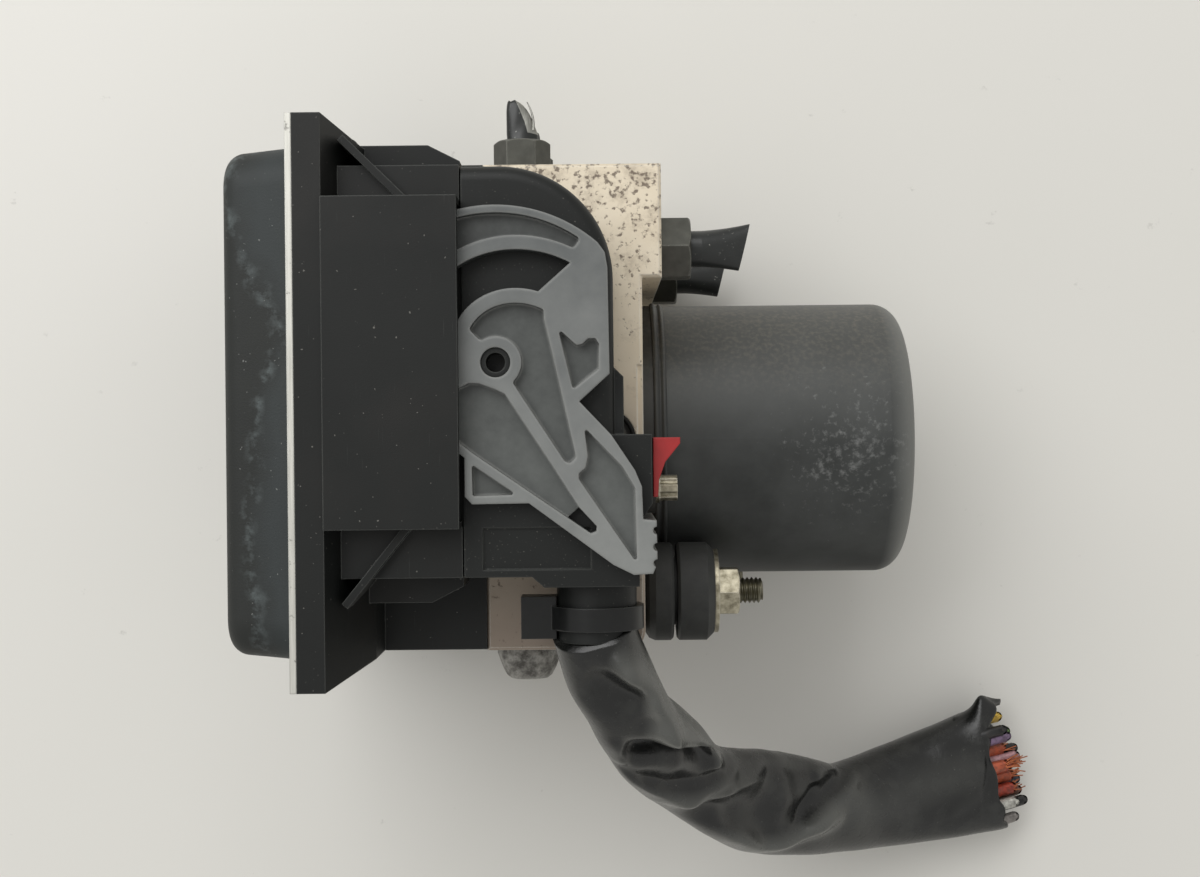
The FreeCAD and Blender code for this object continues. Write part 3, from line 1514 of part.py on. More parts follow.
def lever():
    """Swinging lock lever: ribbed upper cheek, plain lower cheek, and the grip between them."""
    outline = cheek_outline()
    high, low = lever_high_z, lever_low_z
    upper = raised(outline, high)
    lower = raised(outline, low)
    floor_z = high[0] + lever_floor
    sunk = (floor_z, high[1])
    pockets = []
    for wire in (rim_channel(), hub_pocket()):
        pocket = raised(wire, sunk)
        corners = [e for e in pocket.Edges if runs_along(e, "z")]
        pockets.append(pocket.makeFillet(rib_round, corners))
    for field in sunk_fields():
        pocket = prism(near_pivot(field), sunk)
        corners = [e for e in pocket.Edges if runs_along(e, "z")]
        pockets.append(pocket.makeFillet(rib_round * 0.5, corners))
    window = prism(near_pivot([
        (16.1, -28.5), (19.5, -32.2), (19.4, -33.2), (18.3, -33.6), (13.8, -30.5),
    ]), high)
    upper = upper.cut(pockets + [window])
    grip = prism(near_pivot([
        (28.6, -31.0), (31.2, -31.2), (31.3, -39.6), (30.4, -41.6), (28.6, -41.6),
    ]), (low[0], high[1]))
    body = joined([upper, lower, grip])
    slot = slot_wire()
    hole = rod("z", (pivot_x, plug_axis_y), (low[0], high[1]), pivot_hole_r)
    notches = []
    for i in range(3):
        x, y = near_pivot([(31.3, -33.2 - i * grip_notch_pitch)])[0]
        notches.append(rod("z", (x, y), (low[0], high[1]), grip_notch_r))
    return body.cut([raised(slot, high), raised(slot, low), hole] + notches)


def lock_slide():
    """Red slide on the catch that keeps the lever shut, with a flared thumb tab."""
    back = catch_right_x + seat_gap
    tab = prism([
        (back, catch_top_y - 0.7), (back + 5.4, catch_top_y - 0.7), (back + 5.4, catch_top_y - 1.9),
        (back + 2.4, catch_top_y - 5.6), (back + 1.1, catch_top_y - 9.2), (back + 0.9, -11.4),
        (back, -11.4),
    ], (lock_low_z, lock_high_z))
    rail_x = (catch_right_x - lock_rail_depth, back + 0.5)
    rail_y = (catch_top_y - 1.7 - lock_rail_length, catch_top_y - 1.7)
    rail = box(rail_x, rail_y, (lock_rail_low_z, lock_rail_high_z))
    return joined([tab, rail])


def route_path(name, points):
    """Straight runs joined by tangent arcs as large as the runs allow; prints each radius."""
    points = [V(*p) for p in points]
    edges = []
    last = points[0]
    for before, here, after in zip(points, points[1:], points[2:]):
        into, out = here - before, after - here
        turn = into.getAngle(out)
        reach = 0.45 * min(into.Length, out.Length)
        radius = reach / math.tan(turn / 2)
        print(f"{name} bend radius {radius:.1f} mm, turn {math.degrees(turn):.0f} degrees")
        into.normalize()
        out.normalize()
        start, end = here - into * reach, here + out * reach
        centre_way = (out - into).normalize()
        centre = here + centre_way * (radius / math.cos(turn / 2))
        middle = centre - centre_way * radius
        edges.append(Part.makeLine(last, start))
        edges.append(Part.Arc(start, middle, end).toShape())
        last = end
    edges.append(Part.makeLine(last, points[-1]))
    return Part.Wire(edges)


def harness_sleeve():
    """Black sleeve of the wiring harness, drawn as a plain tube along its real route."""
    path = route_path("harness", harness_route)
    start = V(*harness_route[0])
    way = (V(*harness_route[1]) - start).normalize()
    section = Part.Wire(Part.Circle(start, way, harness_r).toShape())
    tube = path.makePipeShell([section], True, False)
    expected = math.pi * harness_r ** 2 * path.Length
    print(f"harness length {path.Length:.1f} mm, volume share {tube.Volume / expected:.4f}")
    behind = 2 * harness_r
    inside = box((outlet_x - behind, outlet_x + behind), (outlet_end_y, outlet_end_y + behind),
                 (outlet_z - behind, outlet_z + behind))
    return tube.cut(inside)


def wire_ends():
    """Cut ends of the wires, standing out of the sleeve's open end."""
    end, before = V(*harness_route[-1]), V(*harness_route[-2])
    way = (end - before).normalize()
    side = AXES["z"].cross(way).normalize()
    up = way.cross(side)
    wires = []
    for place_out, count in enumerate(wire_ring_counts):
        radius = place_out * wire_ring_pitch
        for i in range(count):
            angle = 2 * math.pi * i / count
            place = end + side * (radius * math.cos(angle)) + up * (radius * math.sin(angle))
            length = wire_reach * (0.6 + 0.4 * math.cos(2.4 * i + radius))
            wires.append(Part.makeCylinder(wire_r, length, place, way))
    return Part.makeCompound(wires)


sub_parts = {
    "hydraulic_block": hydraulic_block,
    "valve_stems": valve_stems,
    "solenoid_coils": solenoid_coils,
    "pump_pistons": pump_pistons,
    "pump_springs": pump_springs,
    "pump_plugs": pump_plugs,
    "accumulator_caps": accumulator_caps,
    "ball_plugs": ball_plugs,
    "wheel_pipe_nuts": wheel_pipe_nuts,
    "wheel_pipe_stubs": wheel_pipe_stubs,
    "inlet_pipe_nuts": inlet_pipe_nuts,
    "inlet_pipe_stubs": inlet_pipe_stubs,
    "motor_can": motor_can,
    "motor_bolts": motor_bolts,
    "motor_shaft": motor_shaft,
    "eccentric_bearing": eccentric_bearing,
    "motor_bearings": motor_bearings,
    "motor_seal": motor_seal,
    "commutator": commutator,
    "armature": armature,
    "windings": windings,
    "motor_magnets": motor_magnets,
    "brushes": brushes,
    "brush_plate": brush_plate,
    "motor_lead_sleeves": motor_lead_sleeves,
    "motor_leads": motor_leads,
    "mount_rubbers": mount_rubbers,
    "mount_sleeves": mount_sleeves,
    "mount_washers": mount_washers,
    "mount_nuts": mount_nuts,
    "mount_studs": mount_studs,
    "locator_pin": locator_pin,
    "locator_bush": locator_bush,
    "locator_ring": locator_ring,
    "ecu_cover": ecu_cover,
    "ecu_plate": ecu_plate,
    "ecu_housing": ecu_housing,
    "ecu_seal": ecu_seal,
    "ecu_screws": ecu_screws,
    "circuit_board": circuit_board,
    "board_components": board_components,
    "header_pins": header_pins,
    "plug_cover": plug_cover,
    "plug_housing": plug_housing,
    "plug_seal": plug_seal,
    "wire_terminals": wire_terminals,
    "wire_bundle": wire_bundle,
    "cable_tie": cable_tie,
    "lever": lever,
    "lock_slide": lock_slide,
    "harness_sleeve": harness_sleeve,
    "wire_ends": wire_ends,
}
for name, z in zip(("upper", "lower"), accumulator_places()):
    sub_parts[f"{name}_accumulator_piston"] = lambda z=z: accumulator_piston(z)
    sub_parts[f"{name}_accumulator_spring"] = lambda z=z: accumulator_spring(z)

os.makedirs("parts", exist_ok=True)
for name, make in sub_parts.items():
    shape = make()
    for solid in shape.Solids:
        if not solid.isValid() or solid.Volume <= 0:
            print("not a valid solid in", name)
    shape.exportStep(f"parts/{name}.step")
    print(name, len(shape.Solids), "solids", round(shape.Volume), "mm3")
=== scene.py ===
import bpy
import math
import numpy as np
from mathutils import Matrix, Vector


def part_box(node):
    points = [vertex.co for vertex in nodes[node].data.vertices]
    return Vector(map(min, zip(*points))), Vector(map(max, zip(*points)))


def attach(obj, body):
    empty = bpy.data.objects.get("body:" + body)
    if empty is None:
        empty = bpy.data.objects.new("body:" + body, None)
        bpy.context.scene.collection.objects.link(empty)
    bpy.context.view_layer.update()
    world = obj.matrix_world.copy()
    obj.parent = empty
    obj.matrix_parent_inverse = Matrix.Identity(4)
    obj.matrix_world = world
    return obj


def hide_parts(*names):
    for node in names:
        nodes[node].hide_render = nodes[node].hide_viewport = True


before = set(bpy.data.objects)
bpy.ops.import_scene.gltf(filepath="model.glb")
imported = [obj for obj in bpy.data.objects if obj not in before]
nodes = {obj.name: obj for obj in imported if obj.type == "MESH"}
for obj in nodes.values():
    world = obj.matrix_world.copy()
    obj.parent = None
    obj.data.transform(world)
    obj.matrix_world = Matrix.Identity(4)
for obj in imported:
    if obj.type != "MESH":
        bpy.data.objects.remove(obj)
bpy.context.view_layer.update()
scene = bpy.context.scene
scene.view_settings.view_transform = "Standard"

# Camera: straight above the unit, as the photograph was taken, a hand's breadth over the plug.
# The long side of the picture covers about a third of a metre of the table.
camera_data = bpy.data.cameras.new("camera")
camera_data.sensor_width = 36.0
camera_data.lens = 50.19
camera = bpy.data.objects.new("camera", camera_data)
camera.location = (0.0, 0.0004, 0.452)
camera.rotation_euler = (0.0, 0.0, math.radians(-0.6))
scene.collection.objects.link(camera)
scene.camera = camera

# Harness sleeve: a soft vinyl tube round eighteen wires, tied over the plug's outlet, flattened
# and folded twice where it turns down to the table, then run out along it and cut off.
harness_route = [
    (-0.0010, -0.0410, 0.1083), (0.0025, -0.0545, 0.1015), (0.0113, -0.0655, 0.0885),
    (0.0200, -0.0795, 0.0660), (0.0397, -0.0910, 0.0410), (0.0630, -0.0940, 0.0205),
    (0.0865, -0.0900, 0.0120), (0.1075, -0.0850, 0.0102),
]
line_curve = bpy.data.curves.new("harness_line", "CURVE")
line_curve.dimensions = "3D"
line_curve.resolution_u = 40
spline = line_curve.splines.new("NURBS")
spline.points.add(len(harness_route) - 1)
for point, place in zip(spline.points, harness_route):
    point.co = (*place, 1.0)
spline.order_u = 3
spline.use_endpoint_u = True
line_object = bpy.data.objects.new("harness_line", line_curve)
line_mesh = bpy.data.meshes.new_from_object(line_object)
harness_line = np.array([v.co for v in line_mesh.vertices])
bpy.data.objects.remove(line_object)
bpy.data.meshes.remove(line_mesh)
along = np.r_[0, np.cumsum(np.linalg.norm(np.diff(harness_line, axis=0), axis=1))]
harness_length = float(along[-1])


def harness_frames(stations):
    """Places on the harness's line, with its direction, its upper-side direction and up."""
    look = 0.003
    place, ahead, back = [
        np.array([[np.interp(s + step, along, harness_line[:, k]) for k in range(3)]
                  for s in stations]) for step in (0.0, look, -look)]
    forward = ahead - back
    forward /= np.linalg.norm(forward, axis=1)[:, None]
    side = np.cross([0.0, 0.0, 1.0], forward)
    side /= np.linalg.norm(side, axis=1)[:, None]
    return place, forward, side, np.cross(forward, side)


# share of the length, then millimetres: half width on each side, half height above and below
sleeve_sections = np.array([
    (0.00, 8.6, 8.6, 8.6, 8.6), (0.05, 9.0, 9.4, 8.8, 8.8), (0.10, 7.9, 9.5, 8.4, 9.0),
    (0.15, 9.2, 8.6, 7.5, 9.0), (0.20, 10.2, 9.5, 7.0, 9.0), (0.25, 10.1, 10.1, 6.5, 9.0),
    (0.30, 9.2, 10.0, 6.5, 9.0), (0.35, 8.9, 9.5, 7.0, 9.0), (0.40, 9.4, 10.2, 7.5, 9.0),
    (0.45, 10.3, 12.0, 7.5, 9.0), (0.50, 11.6, 13.3, 7.5, 9.0), (0.55, 12.2, 13.4, 7.5, 9.0),
    (0.60, 12.1, 12.9, 7.5, 9.0), (0.65, 12.3, 11.6, 8.0, 9.0), (0.70, 12.5, 9.4, 8.6, 9.5),
    (0.75, 13.1, 10.6, 9.0, 9.8), (0.80, 14.2, 11.6, 9.0, 9.9), (0.85, 15.5, 12.5, 8.8, 9.9),
    (0.90, 16.5, 13.6, 8.4, 9.9), (0.95, 17.3, 14.9, 8.0, 9.8), (1.00, 17.5, 15.2, 7.6, 9.7),
])
# folds: millimetres along and across the sleeve, then half width, height of the crest, and the
# height by which the side on the right of the line lies over the side on its left
sleeve_folds = [
    ([(-2, 2), (4, 5), (9, 7.4), (13, 8.2), (19, 8.0), (26, 7.0)], 2.4, 3.6, 0.0),
    ([(3, -5), (6, -0.5), (9, 4.0), (13, 5.0)], 3.4, -1.7, 0.0),
    ([(18, 3.8), (22, 4.8), (27, 5.3), (31, 6.7), (35, 7.9), (40, 9.0), (47, 9.3), (60, 8.6)],
     2.2, 3.6, 0.0),
    ([(22, -6), (26, -2.5), (31.5, 2.6), (37, 5.8), (44, 7.4), (50, 7.4)], 2.0, -3.6, 0.0),
    ([(20, -4.2), (24.6, -6.8), (27, -8.6)], 1.3, 1.3, 0.0),
    ([(28, -9.6), (38, -7.1), (44.3, -4.2), (48.4, -1.4), (53.2, 2.6), (58.3, 5.8), (65.8, 9.5)],
     0.7, 0.6, 3.6),
    ([(45, -6.4), (52, -3.2), (58.6, 0.8), (64, 3.7), (70, 6.5), (80, 9.5)], 1.6, 1.2, 0.0),
    ([(54, -4.4), (62, -2.6), (70, -1.4), (80, 1.0), (90, 2.5)], 4.0, -1.6, 0.0),
    ([(66, -4.6), (74, -6.4), (81, -7.2), (87.4, -8.2), (92.6, -7.4), (97, -5.5), (101, -3.1),
      (107, -0.9), (114, -0.2)], 2.0, 2.4, 0.0),
    ([(105.5, 7.8), (102.4, 4.0), (99.8, 1.1), (96.8, -3.2)], 0.6, -1.5, 0.0),
    ([(98, -2.6), (104, 0.6), (109.4, 3.5), (117.4, 6.6), (124, 9.6)], 0.8, 0.8, 3.4),
    ([(103, 8.6), (108, 10.4), (113, 11.2), (118, 10.2)], 1.6, 1.4, 0.0),
    ([(104, -0.8), (117, -0.1), (128, -0.4), (139, 0.7), (149, 1.6), (160, 1.7), (170, 1.7)],
     4.4, 0.9, 0.0),
    ([(166.5, 5.7), (165.3, 1.5), (163.0, -3.2), (160.4, -7.4)], 0.6, -1.3, 0.0),
    ([(150, -8.2), (156, -6.6), (161, -5.2)], 0.7, 0.5, 0.0),
]
# how much the folds stand out and spread, and how far in millimetres an overlap is felt
fold_gain, fold_spread, overlap_gain, overlap_reach = 1.625, 1.35, 0.625, 7.0


def fold_height(s, v):
    """Height in millimetres that the folds add at distances along and across the sleeve."""
    total = np.zeros_like(s)
    for line, width, crest, overlap in sleeve_folds:
        line = np.array(line, float)
        best = np.full(s.shape, 1e9)
        signed = np.zeros_like(s)
        share = np.zeros_like(s)
        for i, (a, b) in enumerate(zip(line, line[1:])):
            run = b - a
            t = np.clip(((s - a[0]) * run[0] + (v - a[1]) * run[1]) / (run @ run), 0, 1)
            off_s, off_v = s - a[0] - t * run[0], v - a[1] - t * run[1]
            gap = np.hypot(off_s, off_v)
            near = gap < best
            best = np.where(near, gap, best)
            signed = np.where(near, np.sign(run[1] * off_s - run[0] * off_v) * gap, signed)
            share = np.where(near, (i + t) / (len(line) - 1), share)
        ends = np.clip(np.minimum(share, 1 - share) * 5, 0, 1) ** 0.7
        total += fold_gain * crest * ends * np.exp(-(best / (fold_spread * width)) ** 2)
        if overlap:
            step = overlap_gain * overlap * np.tanh(signed / width)
            total += step * ends * np.exp(-best / overlap_reach)
    return total


def soften(values, span, edges):
    """Rounds a row of values over a span of neighbours."""
    window = np.hanning(span)
    return np.convolve(np.pad(values, span // 2, mode=edges), window / window.sum(), mode="valid")


def tube_faces(base, rings, sides):
    """Four-cornered faces between rings of points that follow each other."""
    return [(base + i * sides + j, base + i * sides + (j + 1) % sides,
             base + (i + 1) * sides + (j + 1) % sides, base + (i + 1) * sides + j)
            for i in range(rings - 1) for j in range(sides)]


rings, around = 300, 132
collar = 0.0035
stations = np.linspace(-collar, harness_length, rings)
share = np.clip(stations / harness_length, 0, 1)
place, forward, side, up = harness_frames(np.clip(stations, 0, harness_length))
place[stations < 0] += forward[stations < 0] * stations[stations < 0][:, None]
lower_w, upper_w, above, below = [
    soften(np.interp(share, sleeve_sections[:, 0], sleeve_sections[:, k]) / 1000, 19, "edge")
    for k in (1, 2, 3, 4)]
angles = np.linspace(0, 2 * math.pi, around, endpoint=False)
cos, sin = np.cos(angles), np.sin(angles)
# the section is a slightly squared oval; the folds are raised on its upper half only
flat_cos = np.sign(cos) * np.abs(cos) ** 0.9
flat_sin = np.sign(sin) * np.abs(sin) ** 0.95
across = np.where(cos > 0, upper_w[:, None], lower_w[:, None]) * flat_cos
height = np.where(sin > 0, above[:, None], below[:, None]) * flat_sin
on_top = np.clip(sin * 1.6 + 0.35, 0, 1)[None, :]
lift = fold_height(stations[:, None] * 1000 + 0 * across, across * 1000) / 1000
# the vinyl is thick and soft, so the folds are rounded over a few millimetres
lift = np.array([soften(column, 11, "edge") for column in lift.T]).T
lift = np.array([soften(row, 7, "wrap") for row in lift])
# slow ripples, 20 and 36 mm long, that start beyond the tie
ripple_height, ripple_start = 0.00035, 0.02
ripple = (np.sin(stations[:, None] * 310 + 2.0 * sin)
          * np.sin(stations[:, None] * 173 + 3 * cos + 1)
          * ripple_height * np.clip(stations[:, None] / ripple_start, 0, 1))
height = height + lift * on_top + ripple * np.where(sin > -0.3, 1, 0.4)
# the ragged cut end: shorter on top and at the lower corner, with an ear of vinyl pulled up at
# its upper side
ragged, jagged, short_on_top, short_corner = 0.0012, 0.0006, 0.0065, 0.005
cut = (ragged * np.sin(angles * 3 + 0.6) + jagged * np.sin(angles * 11 + 2)
       - short_on_top * np.clip(sin, 0, 1) - short_corner * np.clip(-cos, 0, 1))
cut_reach = 0.012
near_end = np.clip((stations - harness_length + cut_reach) / cut_reach, 0, 1) ** 2
ear_height, ear_angle, ear_width = 0.0040, 0.35, 0.42
ear = np.exp(-((angles - ear_angle) / ear_width) ** 2)
ear_back, ear_length = 0.0042, 0.0036
flap = np.exp(-((stations - harness_length + ear_back) / ear_length) ** 2)
across = across + flap[:, None] * ear * ear_height
surface = (place[:, None, :] + side[:, None, :] * across[:, :, None]
           + up[:, None, :] * height[:, :, None]
           + forward[:, None, :] * (near_end[:, None] * cut)[:, :, None])
# the inner wall turns back at the cut and ends out of sight behind the wires
inner_rows = []
for back, wall in ((0.0000, 0.0006), (0.0003, 0.0011), (0.004, 0.0012), (0.012, 0.0013)):
    centre = place[-1] - forward[-1] * back
    inward = surface[-1] - place[-1]
    reach = np.linalg.norm(inward, axis=1)[:, None]
    inner_rows.append(centre + inward * (1 - wall / reach))
rows = np.concatenate([surface, np.array(inner_rows)])
table_gap = 0.0002
rows[:, :, 2] = np.maximum(rows[:, :, 2], table_gap)
points = rows.reshape(-1, 3)
faces = tube_faces(0, len(rows), around)
faces.append(tuple(reversed(range(around))))
faces.append(tuple((len(rows) - 1) * around + j for j in range(around)))


def fill(tree, node, inputs):
    """Sets a node's inputs, or links them where another node's output is given."""
    for key, value in inputs.items():
        if isinstance(value, bpy.types.NodeSocket):
            tree.links.new(value, node.inputs[key])
        else:
            node.inputs[key].default_value = value
    return node


def add(tree, kind, inputs=None, **settings):
    """Adds a shader node with its settings and inputs."""
    node = tree.nodes.new("ShaderNode" + kind)
    for name, value in settings.items():
        setattr(node, name, value)
    return fill(tree, node, inputs or {})


def tone(text):
    """Linear colour for a sRGB hex value."""
    shares = [int(text[i:i + 2], 16) / 255 for i in (1, 3, 5)]
    return [c / 12.92 if c <= 0.04045 else ((c + 0.055) / 1.055) ** 2.4 for c in shares] + [1.0]


def new_finish(name, roughness, metallic=0.0):
    """A new material, its tree and shader, and the piece's own coordinates in millimetres.

    A noise's scale is therefore one over the size of its pattern in millimetres.
    """
    material = bpy.data.materials.new(name)
    material.use_nodes = True
    tree = material.node_tree
    shader = tree.nodes["Principled BSDF"]
    shader.inputs["Roughness"].default_value = roughness
    shader.inputs["Metallic"].default_value = metallic
    place = add(tree, "TexCoord").outputs["Object"]
    mm = add(tree, "VectorMath", {0: place, "Scale": 1000.0}, operation="SCALE").outputs[0]
    return material, tree, shader, mm


# extruded soft black vinyl: half gloss, with leathery wrinkles about 1 mm apart and pale dust; the
# fold crests carry a painted highlight and the hollows painted shade, so that the eye reads the
# folds
vinyl, tree, shader, mm = new_finish("black_vinyl_sleeve", 0.36)
wrinkle = add(tree, "TexNoise", {"Vector": mm, "Scale": 0.9, "Detail": 6.0, "Roughness": 0.62})
scuff = add(tree, "TexNoise", {"Vector": mm, "Scale": 0.16, "Detail": 5.0, "Roughness": 0.6})
scuffed = add(tree, "MapRange", {"Value": scuff.outputs[0], "From Min": 0.48, "From Max": 0.68})
dust = add(tree, "TexNoise", {"Vector": mm, "Scale": 2.4, "Detail": 2.0})
specks = add(tree, "MapRange", {"Value": dust.outputs[0], "From Min": 0.735, "From Max": 0.76,
                                "To Max": 0.5})
shade = add(tree, "MixRGB", {"Fac": scuffed.outputs[0], "Color1": tone("#101110"),
                             "Color2": tone("#232422")})
fold_light_mask = add(tree, "Attribute", attribute_name="fold_light_mask").outputs["Fac"]
# painted highlight: the crests turn pale grey; painted shade: the hollows turn near black
crest = add(tree, "MapRange", {"Value": fold_light_mask, "From Min": 0.1, "From Max": 0.9, "To Max": 0.55})
painted_valley_shade = add(tree, "MapRange", {"Value": fold_light_mask, "From Min": -0.2, "From Max": -1.0, "To Max": 0.32})
paled = add(tree, "MixRGB", {"Fac": crest.outputs[0], "Color1": shade.outputs[0],
                              "Color2": tone("#666763")})
painted_hollow_shade = add(tree, "MixRGB", {"Fac": painted_valley_shade.outputs[0], "Color1": paled.outputs[0],
                              "Color2": tone("#070707")})
dusted = add(tree, "MixRGB", {"Fac": specks.outputs[0], "Color1": painted_hollow_shade.outputs[0],
                              "Color2": tone("#8d8d86")})
gloss = add(tree, "MapRange", {"Value": scuff.outputs[0], "From Min": 0.3, "From Max": 0.7,
                               "To Min": 0.2, "To Max": 0.34})
bump = add(tree, "Bump", {"Height": wrinkle.outputs[0], "Strength": 0.22, "Distance": 0.0003})
fill(tree, shader, {"Base Color": dusted.outputs[0], "Roughness": gloss.outputs[0],
                    "Normal": bump.outputs[0]})


def piece(name, points, faces, materials, smooth=True, choices=None):
    """A mesh object from points and faces; choices give each face one of several materials."""
    mesh = bpy.data.meshes.new(name)
    mesh.from_pydata([tuple(p) for p in points], [], faces)
    for material in materials:
        mesh.materials.append(material)
    if choices is not None:
        mesh.polygons.foreach_set("material_index", choices)
    mesh.polygons.foreach_set("use_smooth", [smooth] * len(mesh.polygons))
    mesh.update()
    made = bpy.data.objects.new(name, mesh)
    scene.collection.objects.link(made)
    return made


sleeve = piece("sleeve", points, faces, [vinyl])
# the height of each crest and the depth of each hollow, as a share of 4 mm, which places the
# painted highlight on the crests and the painted shade in the hollows
full_fold_light = 0.004
fold_light_shares = np.concatenate([np.clip(lift * on_top / full_fold_light, -1, 1),
                              np.zeros((len(inner_rows), around))])
sleeve.data.attributes.new("fold_light_mask", "FLOAT", "POINT").data.foreach_set("value", fold_light_shares.ravel())
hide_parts("harness_sleeve")
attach(sleeve, "plug")

# Cut wires: eighteen stranded copper leads in thin coloured insulation, sheared off with the
# sleeve. Each ends at its own length, some with bare strands that spread.
wire_colours = {
    "yellow": "#c9a53a", "green": "#5d7a45", "black": "#1b1b1c", "violet": "#75607c",
    "brown": "#6a4436", "pink": "#b48a8f", "red": "#a3402f", "orange": "#b85a3c", "blue": "#26303f",
    "white": "#c6c5bd", "grey": "#8f8a86",
}
# PVC insulation, extruded over the strands: one even colour under a little grime, with soft gloss
insulation = {}
for name, colour in wire_colours.items():
    material, tree, shader, mm = new_finish(name + "_insulation", 0.42)
    grime = add(tree, "TexNoise", {"Vector": mm, "Scale": 1.1, "Detail": 4.0})
    dirty = add(tree, "MapRange", {"Value": grime.outputs[0], "From Min": 0.42, "From Max": 0.72,
                                   "To Max": 0.55})
    shade = add(tree, "MixRGB", {"Fac": dirty.outputs[0], "Color1": tone(colour),
                                 "Color2": tone("#2c2926")})
    bump = add(tree, "Bump", {"Height": grime.outputs[0], "Strength": 0.2, "Distance": 0.0001})
    fill(tree, shader, {"Base Color": shade.outputs[0], "Normal": bump.outputs[0]})
    insulation[name] = material

# drawn copper strands, freshly cut: they catch the light orange-red, with darker oxide between
copper, tree, shader, mm = new_finish("bare_copper", 0.32, 1.0)
oxide = add(tree, "TexNoise", {"Vector": mm, "Scale": 1.4, "Detail": 3.0})
shade = add(tree, "MixRGB", {"Fac": oxide.outputs[0], "Color1": tone("#8a4a30"),
                             "Color2": tone("#d98a63")})
fill(tree, shader, {"Base Color": shade.outputs[0]})

# colour, millimetres across and up from the line, how far it stands past the cut, bare length
wires = [
    ("yellow", 9.9, 1.4, 0.2, 0.0), ("green", 9.0, -1.6, 4.6, 0.0), ("black", 8.4, 4.2, -0.4, 0.0),
    ("violet", 6.2, 2.4, 1.2, 0.0), ("black", 5.2, -1.4, 5.0, 0.0), ("pink", 3.2, 1.0, 4.0, 0.0),
    ("orange", 3.4, 4.4, -1.0, 3.4), ("red", 0.8, 3.2, -1.0, 4.2),
    ("orange", -1.8, 4.4, -3.0, 4.6), ("brown", -0.4, -0.6, 4.2, 1.2),
    ("blue", -3.4, -2.2, 5.0, 0.0), ("orange", -4.6, 2.0, 0.6, 2.8),
    ("blue", -5.4, -0.8, 4.2, 0.0), ("red", -7.4, 3.2, -0.6, 2.2),
    ("brown", -7.8, -2.2, 3.4, 1.2), ("black", -9.8, -0.6, 4.0, 0.0),
    ("white", -10.2, 3.2, -1.6, 0.0), ("grey", -13.0, 0.4, -1.2, 0.0),
]
wire_points, wire_faces, wire_choices = [], [], []
finishes = list(insulation) + ["copper"]


def sweep(stops, sides, choice):
    """Round rod through (centre, radius) stops, closed at its end, added to the wires' mesh."""
    base = len(wire_points)
    directions = [Vector(b[0]) - Vector(a[0]) for a, b in zip(stops, stops[1:])]
    directions.append(directions[-1])
    for (centre, radius), direction in zip(stops, directions):
        turn = direction.to_track_quat("Z", "Y")
        for j in range(sides):
            a = 2 * math.pi * j / sides
            wire_points.append(Vector(centre) + turn @ Vector((radius * math.cos(a),
                                                               radius * math.sin(a), 0)))
    wire_faces.extend(tube_faces(base, len(stops), sides))
    wire_faces.append(tuple(base + (len(stops) - 1) * sides + j for j in range(sides)))
    wire_choices.extend([choice] * (len(wire_faces) - len(wire_choices)))


end_place, end_forward, end_side, end_up = [Vector(v[0]) for v in harness_frames([harness_length])]
wire_noise = np.random.default_rng(7)
wire_depth, wire_reach, wire_lean, wire_bow = 0.014, 0.0125, 0.34, 0.0035
supply_radius, signal_radius, strand_radius = 0.0016, 0.0014, 0.00016
strands = 12
# the rows above in metres: spread a little across, pressed together in height, and the part that
# stands past the cut in steps of 0.6 mm
across_step, up_step, stand_step = 0.00104, 0.0009, 0.0006
for colour, v, u, stand, bare in wires:
    lean = Vector(wire_noise.uniform(-wire_lean, wire_lean, 3))
    root = (end_place + end_side * (v * across_step) + end_up * (u * up_step)
            - end_forward * wire_depth)
    ahead = (end_forward + lean * 0.6).normalized()
    tip = root + ahead * (wire_reach + stand * stand_step)
    radius = supply_radius if colour in ("red", "orange") else signal_radius
    middle = root.lerp(tip, 0.6) + lean * wire_bow
    # the insulation ends in a rounded rim, and its bore is open for 0.6 mm
    sweep([(root, radius), (middle, radius), (tip - ahead * 0.0002, radius), (tip, radius * 0.93),
           (tip, radius * 0.66), (tip - ahead * 0.0006, radius * 0.64)], 20, finishes.index(colour))
    spread = 0.0002 if bare < 1 else 0.0016
    for strand in range(strands):
        turn = 2.4 * strand
        reach = radius * 0.56 * math.sqrt((strand + 0.5) / strands)
        off = end_side * (reach * math.cos(turn)) + end_up * (reach * math.sin(turn))
        shift = Vector(wire_noise.uniform(-1, 1, 3)) * spread
        start = tip - ahead * 0.002 + off
        finish = tip + ahead * (bare * 0.001 * wire_noise.uniform(0.6, 1.0) - 0.0003) + off + shift
        sweep([(start, strand_radius), (start.lerp(finish, 0.5), strand_radius),
               (finish, 0.00015)], 6, finishes.index("copper"))
wire_tips = piece("wire_tips", wire_points, wire_faces, list(insulation.values()) + [copper],
                  choices=wire_choices)
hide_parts("wire_ends")
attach(wire_tips, "plug")

# Table: the worn white laminate top that the unit lies on, nearly plain, with soft grey clouds some
# 150 mm wide, a few scuffs and small dark marks.
# melamine laminate: an even pale matt white that takes a soft shadow
tabletop, tree, shader, mm = new_finish("white_laminate", 0.5)
cloud = add(tree, "TexNoise", {"Vector": mm, "Scale": 0.006, "Detail": 3.0})
marks = add(tree, "TexNoise", {"Vector": mm, "Scale": 0.11, "Detail": 5.0, "Roughness": 0.7})
marked = add(tree, "MapRange", {"Value": marks.outputs[0], "From Min": 0.67, "From Max": 0.74,
                                "To Max": 0.25})
pale = add(tree, "MixRGB", {"Fac": cloud.outputs[0], "Color1": tone("#d6d5cf"),
                            "Color2": tone("#dedcd7")})
shade = add(tree, "MixRGB", {"Fac": marked.outputs[0], "Color1": pale.outputs[0],
                             "Color2": tone("#6f6c66")})
fill(tree, shader, {"Base Color": shade.outputs[0]})
half, drop = 2.0, -0.0001
table = piece("table", [(-half, -half, drop), (half, -half, drop), (half, half, drop),
                        (-half, half, drop)], [(0, 1, 2, 3)], [tabletop], smooth=False)

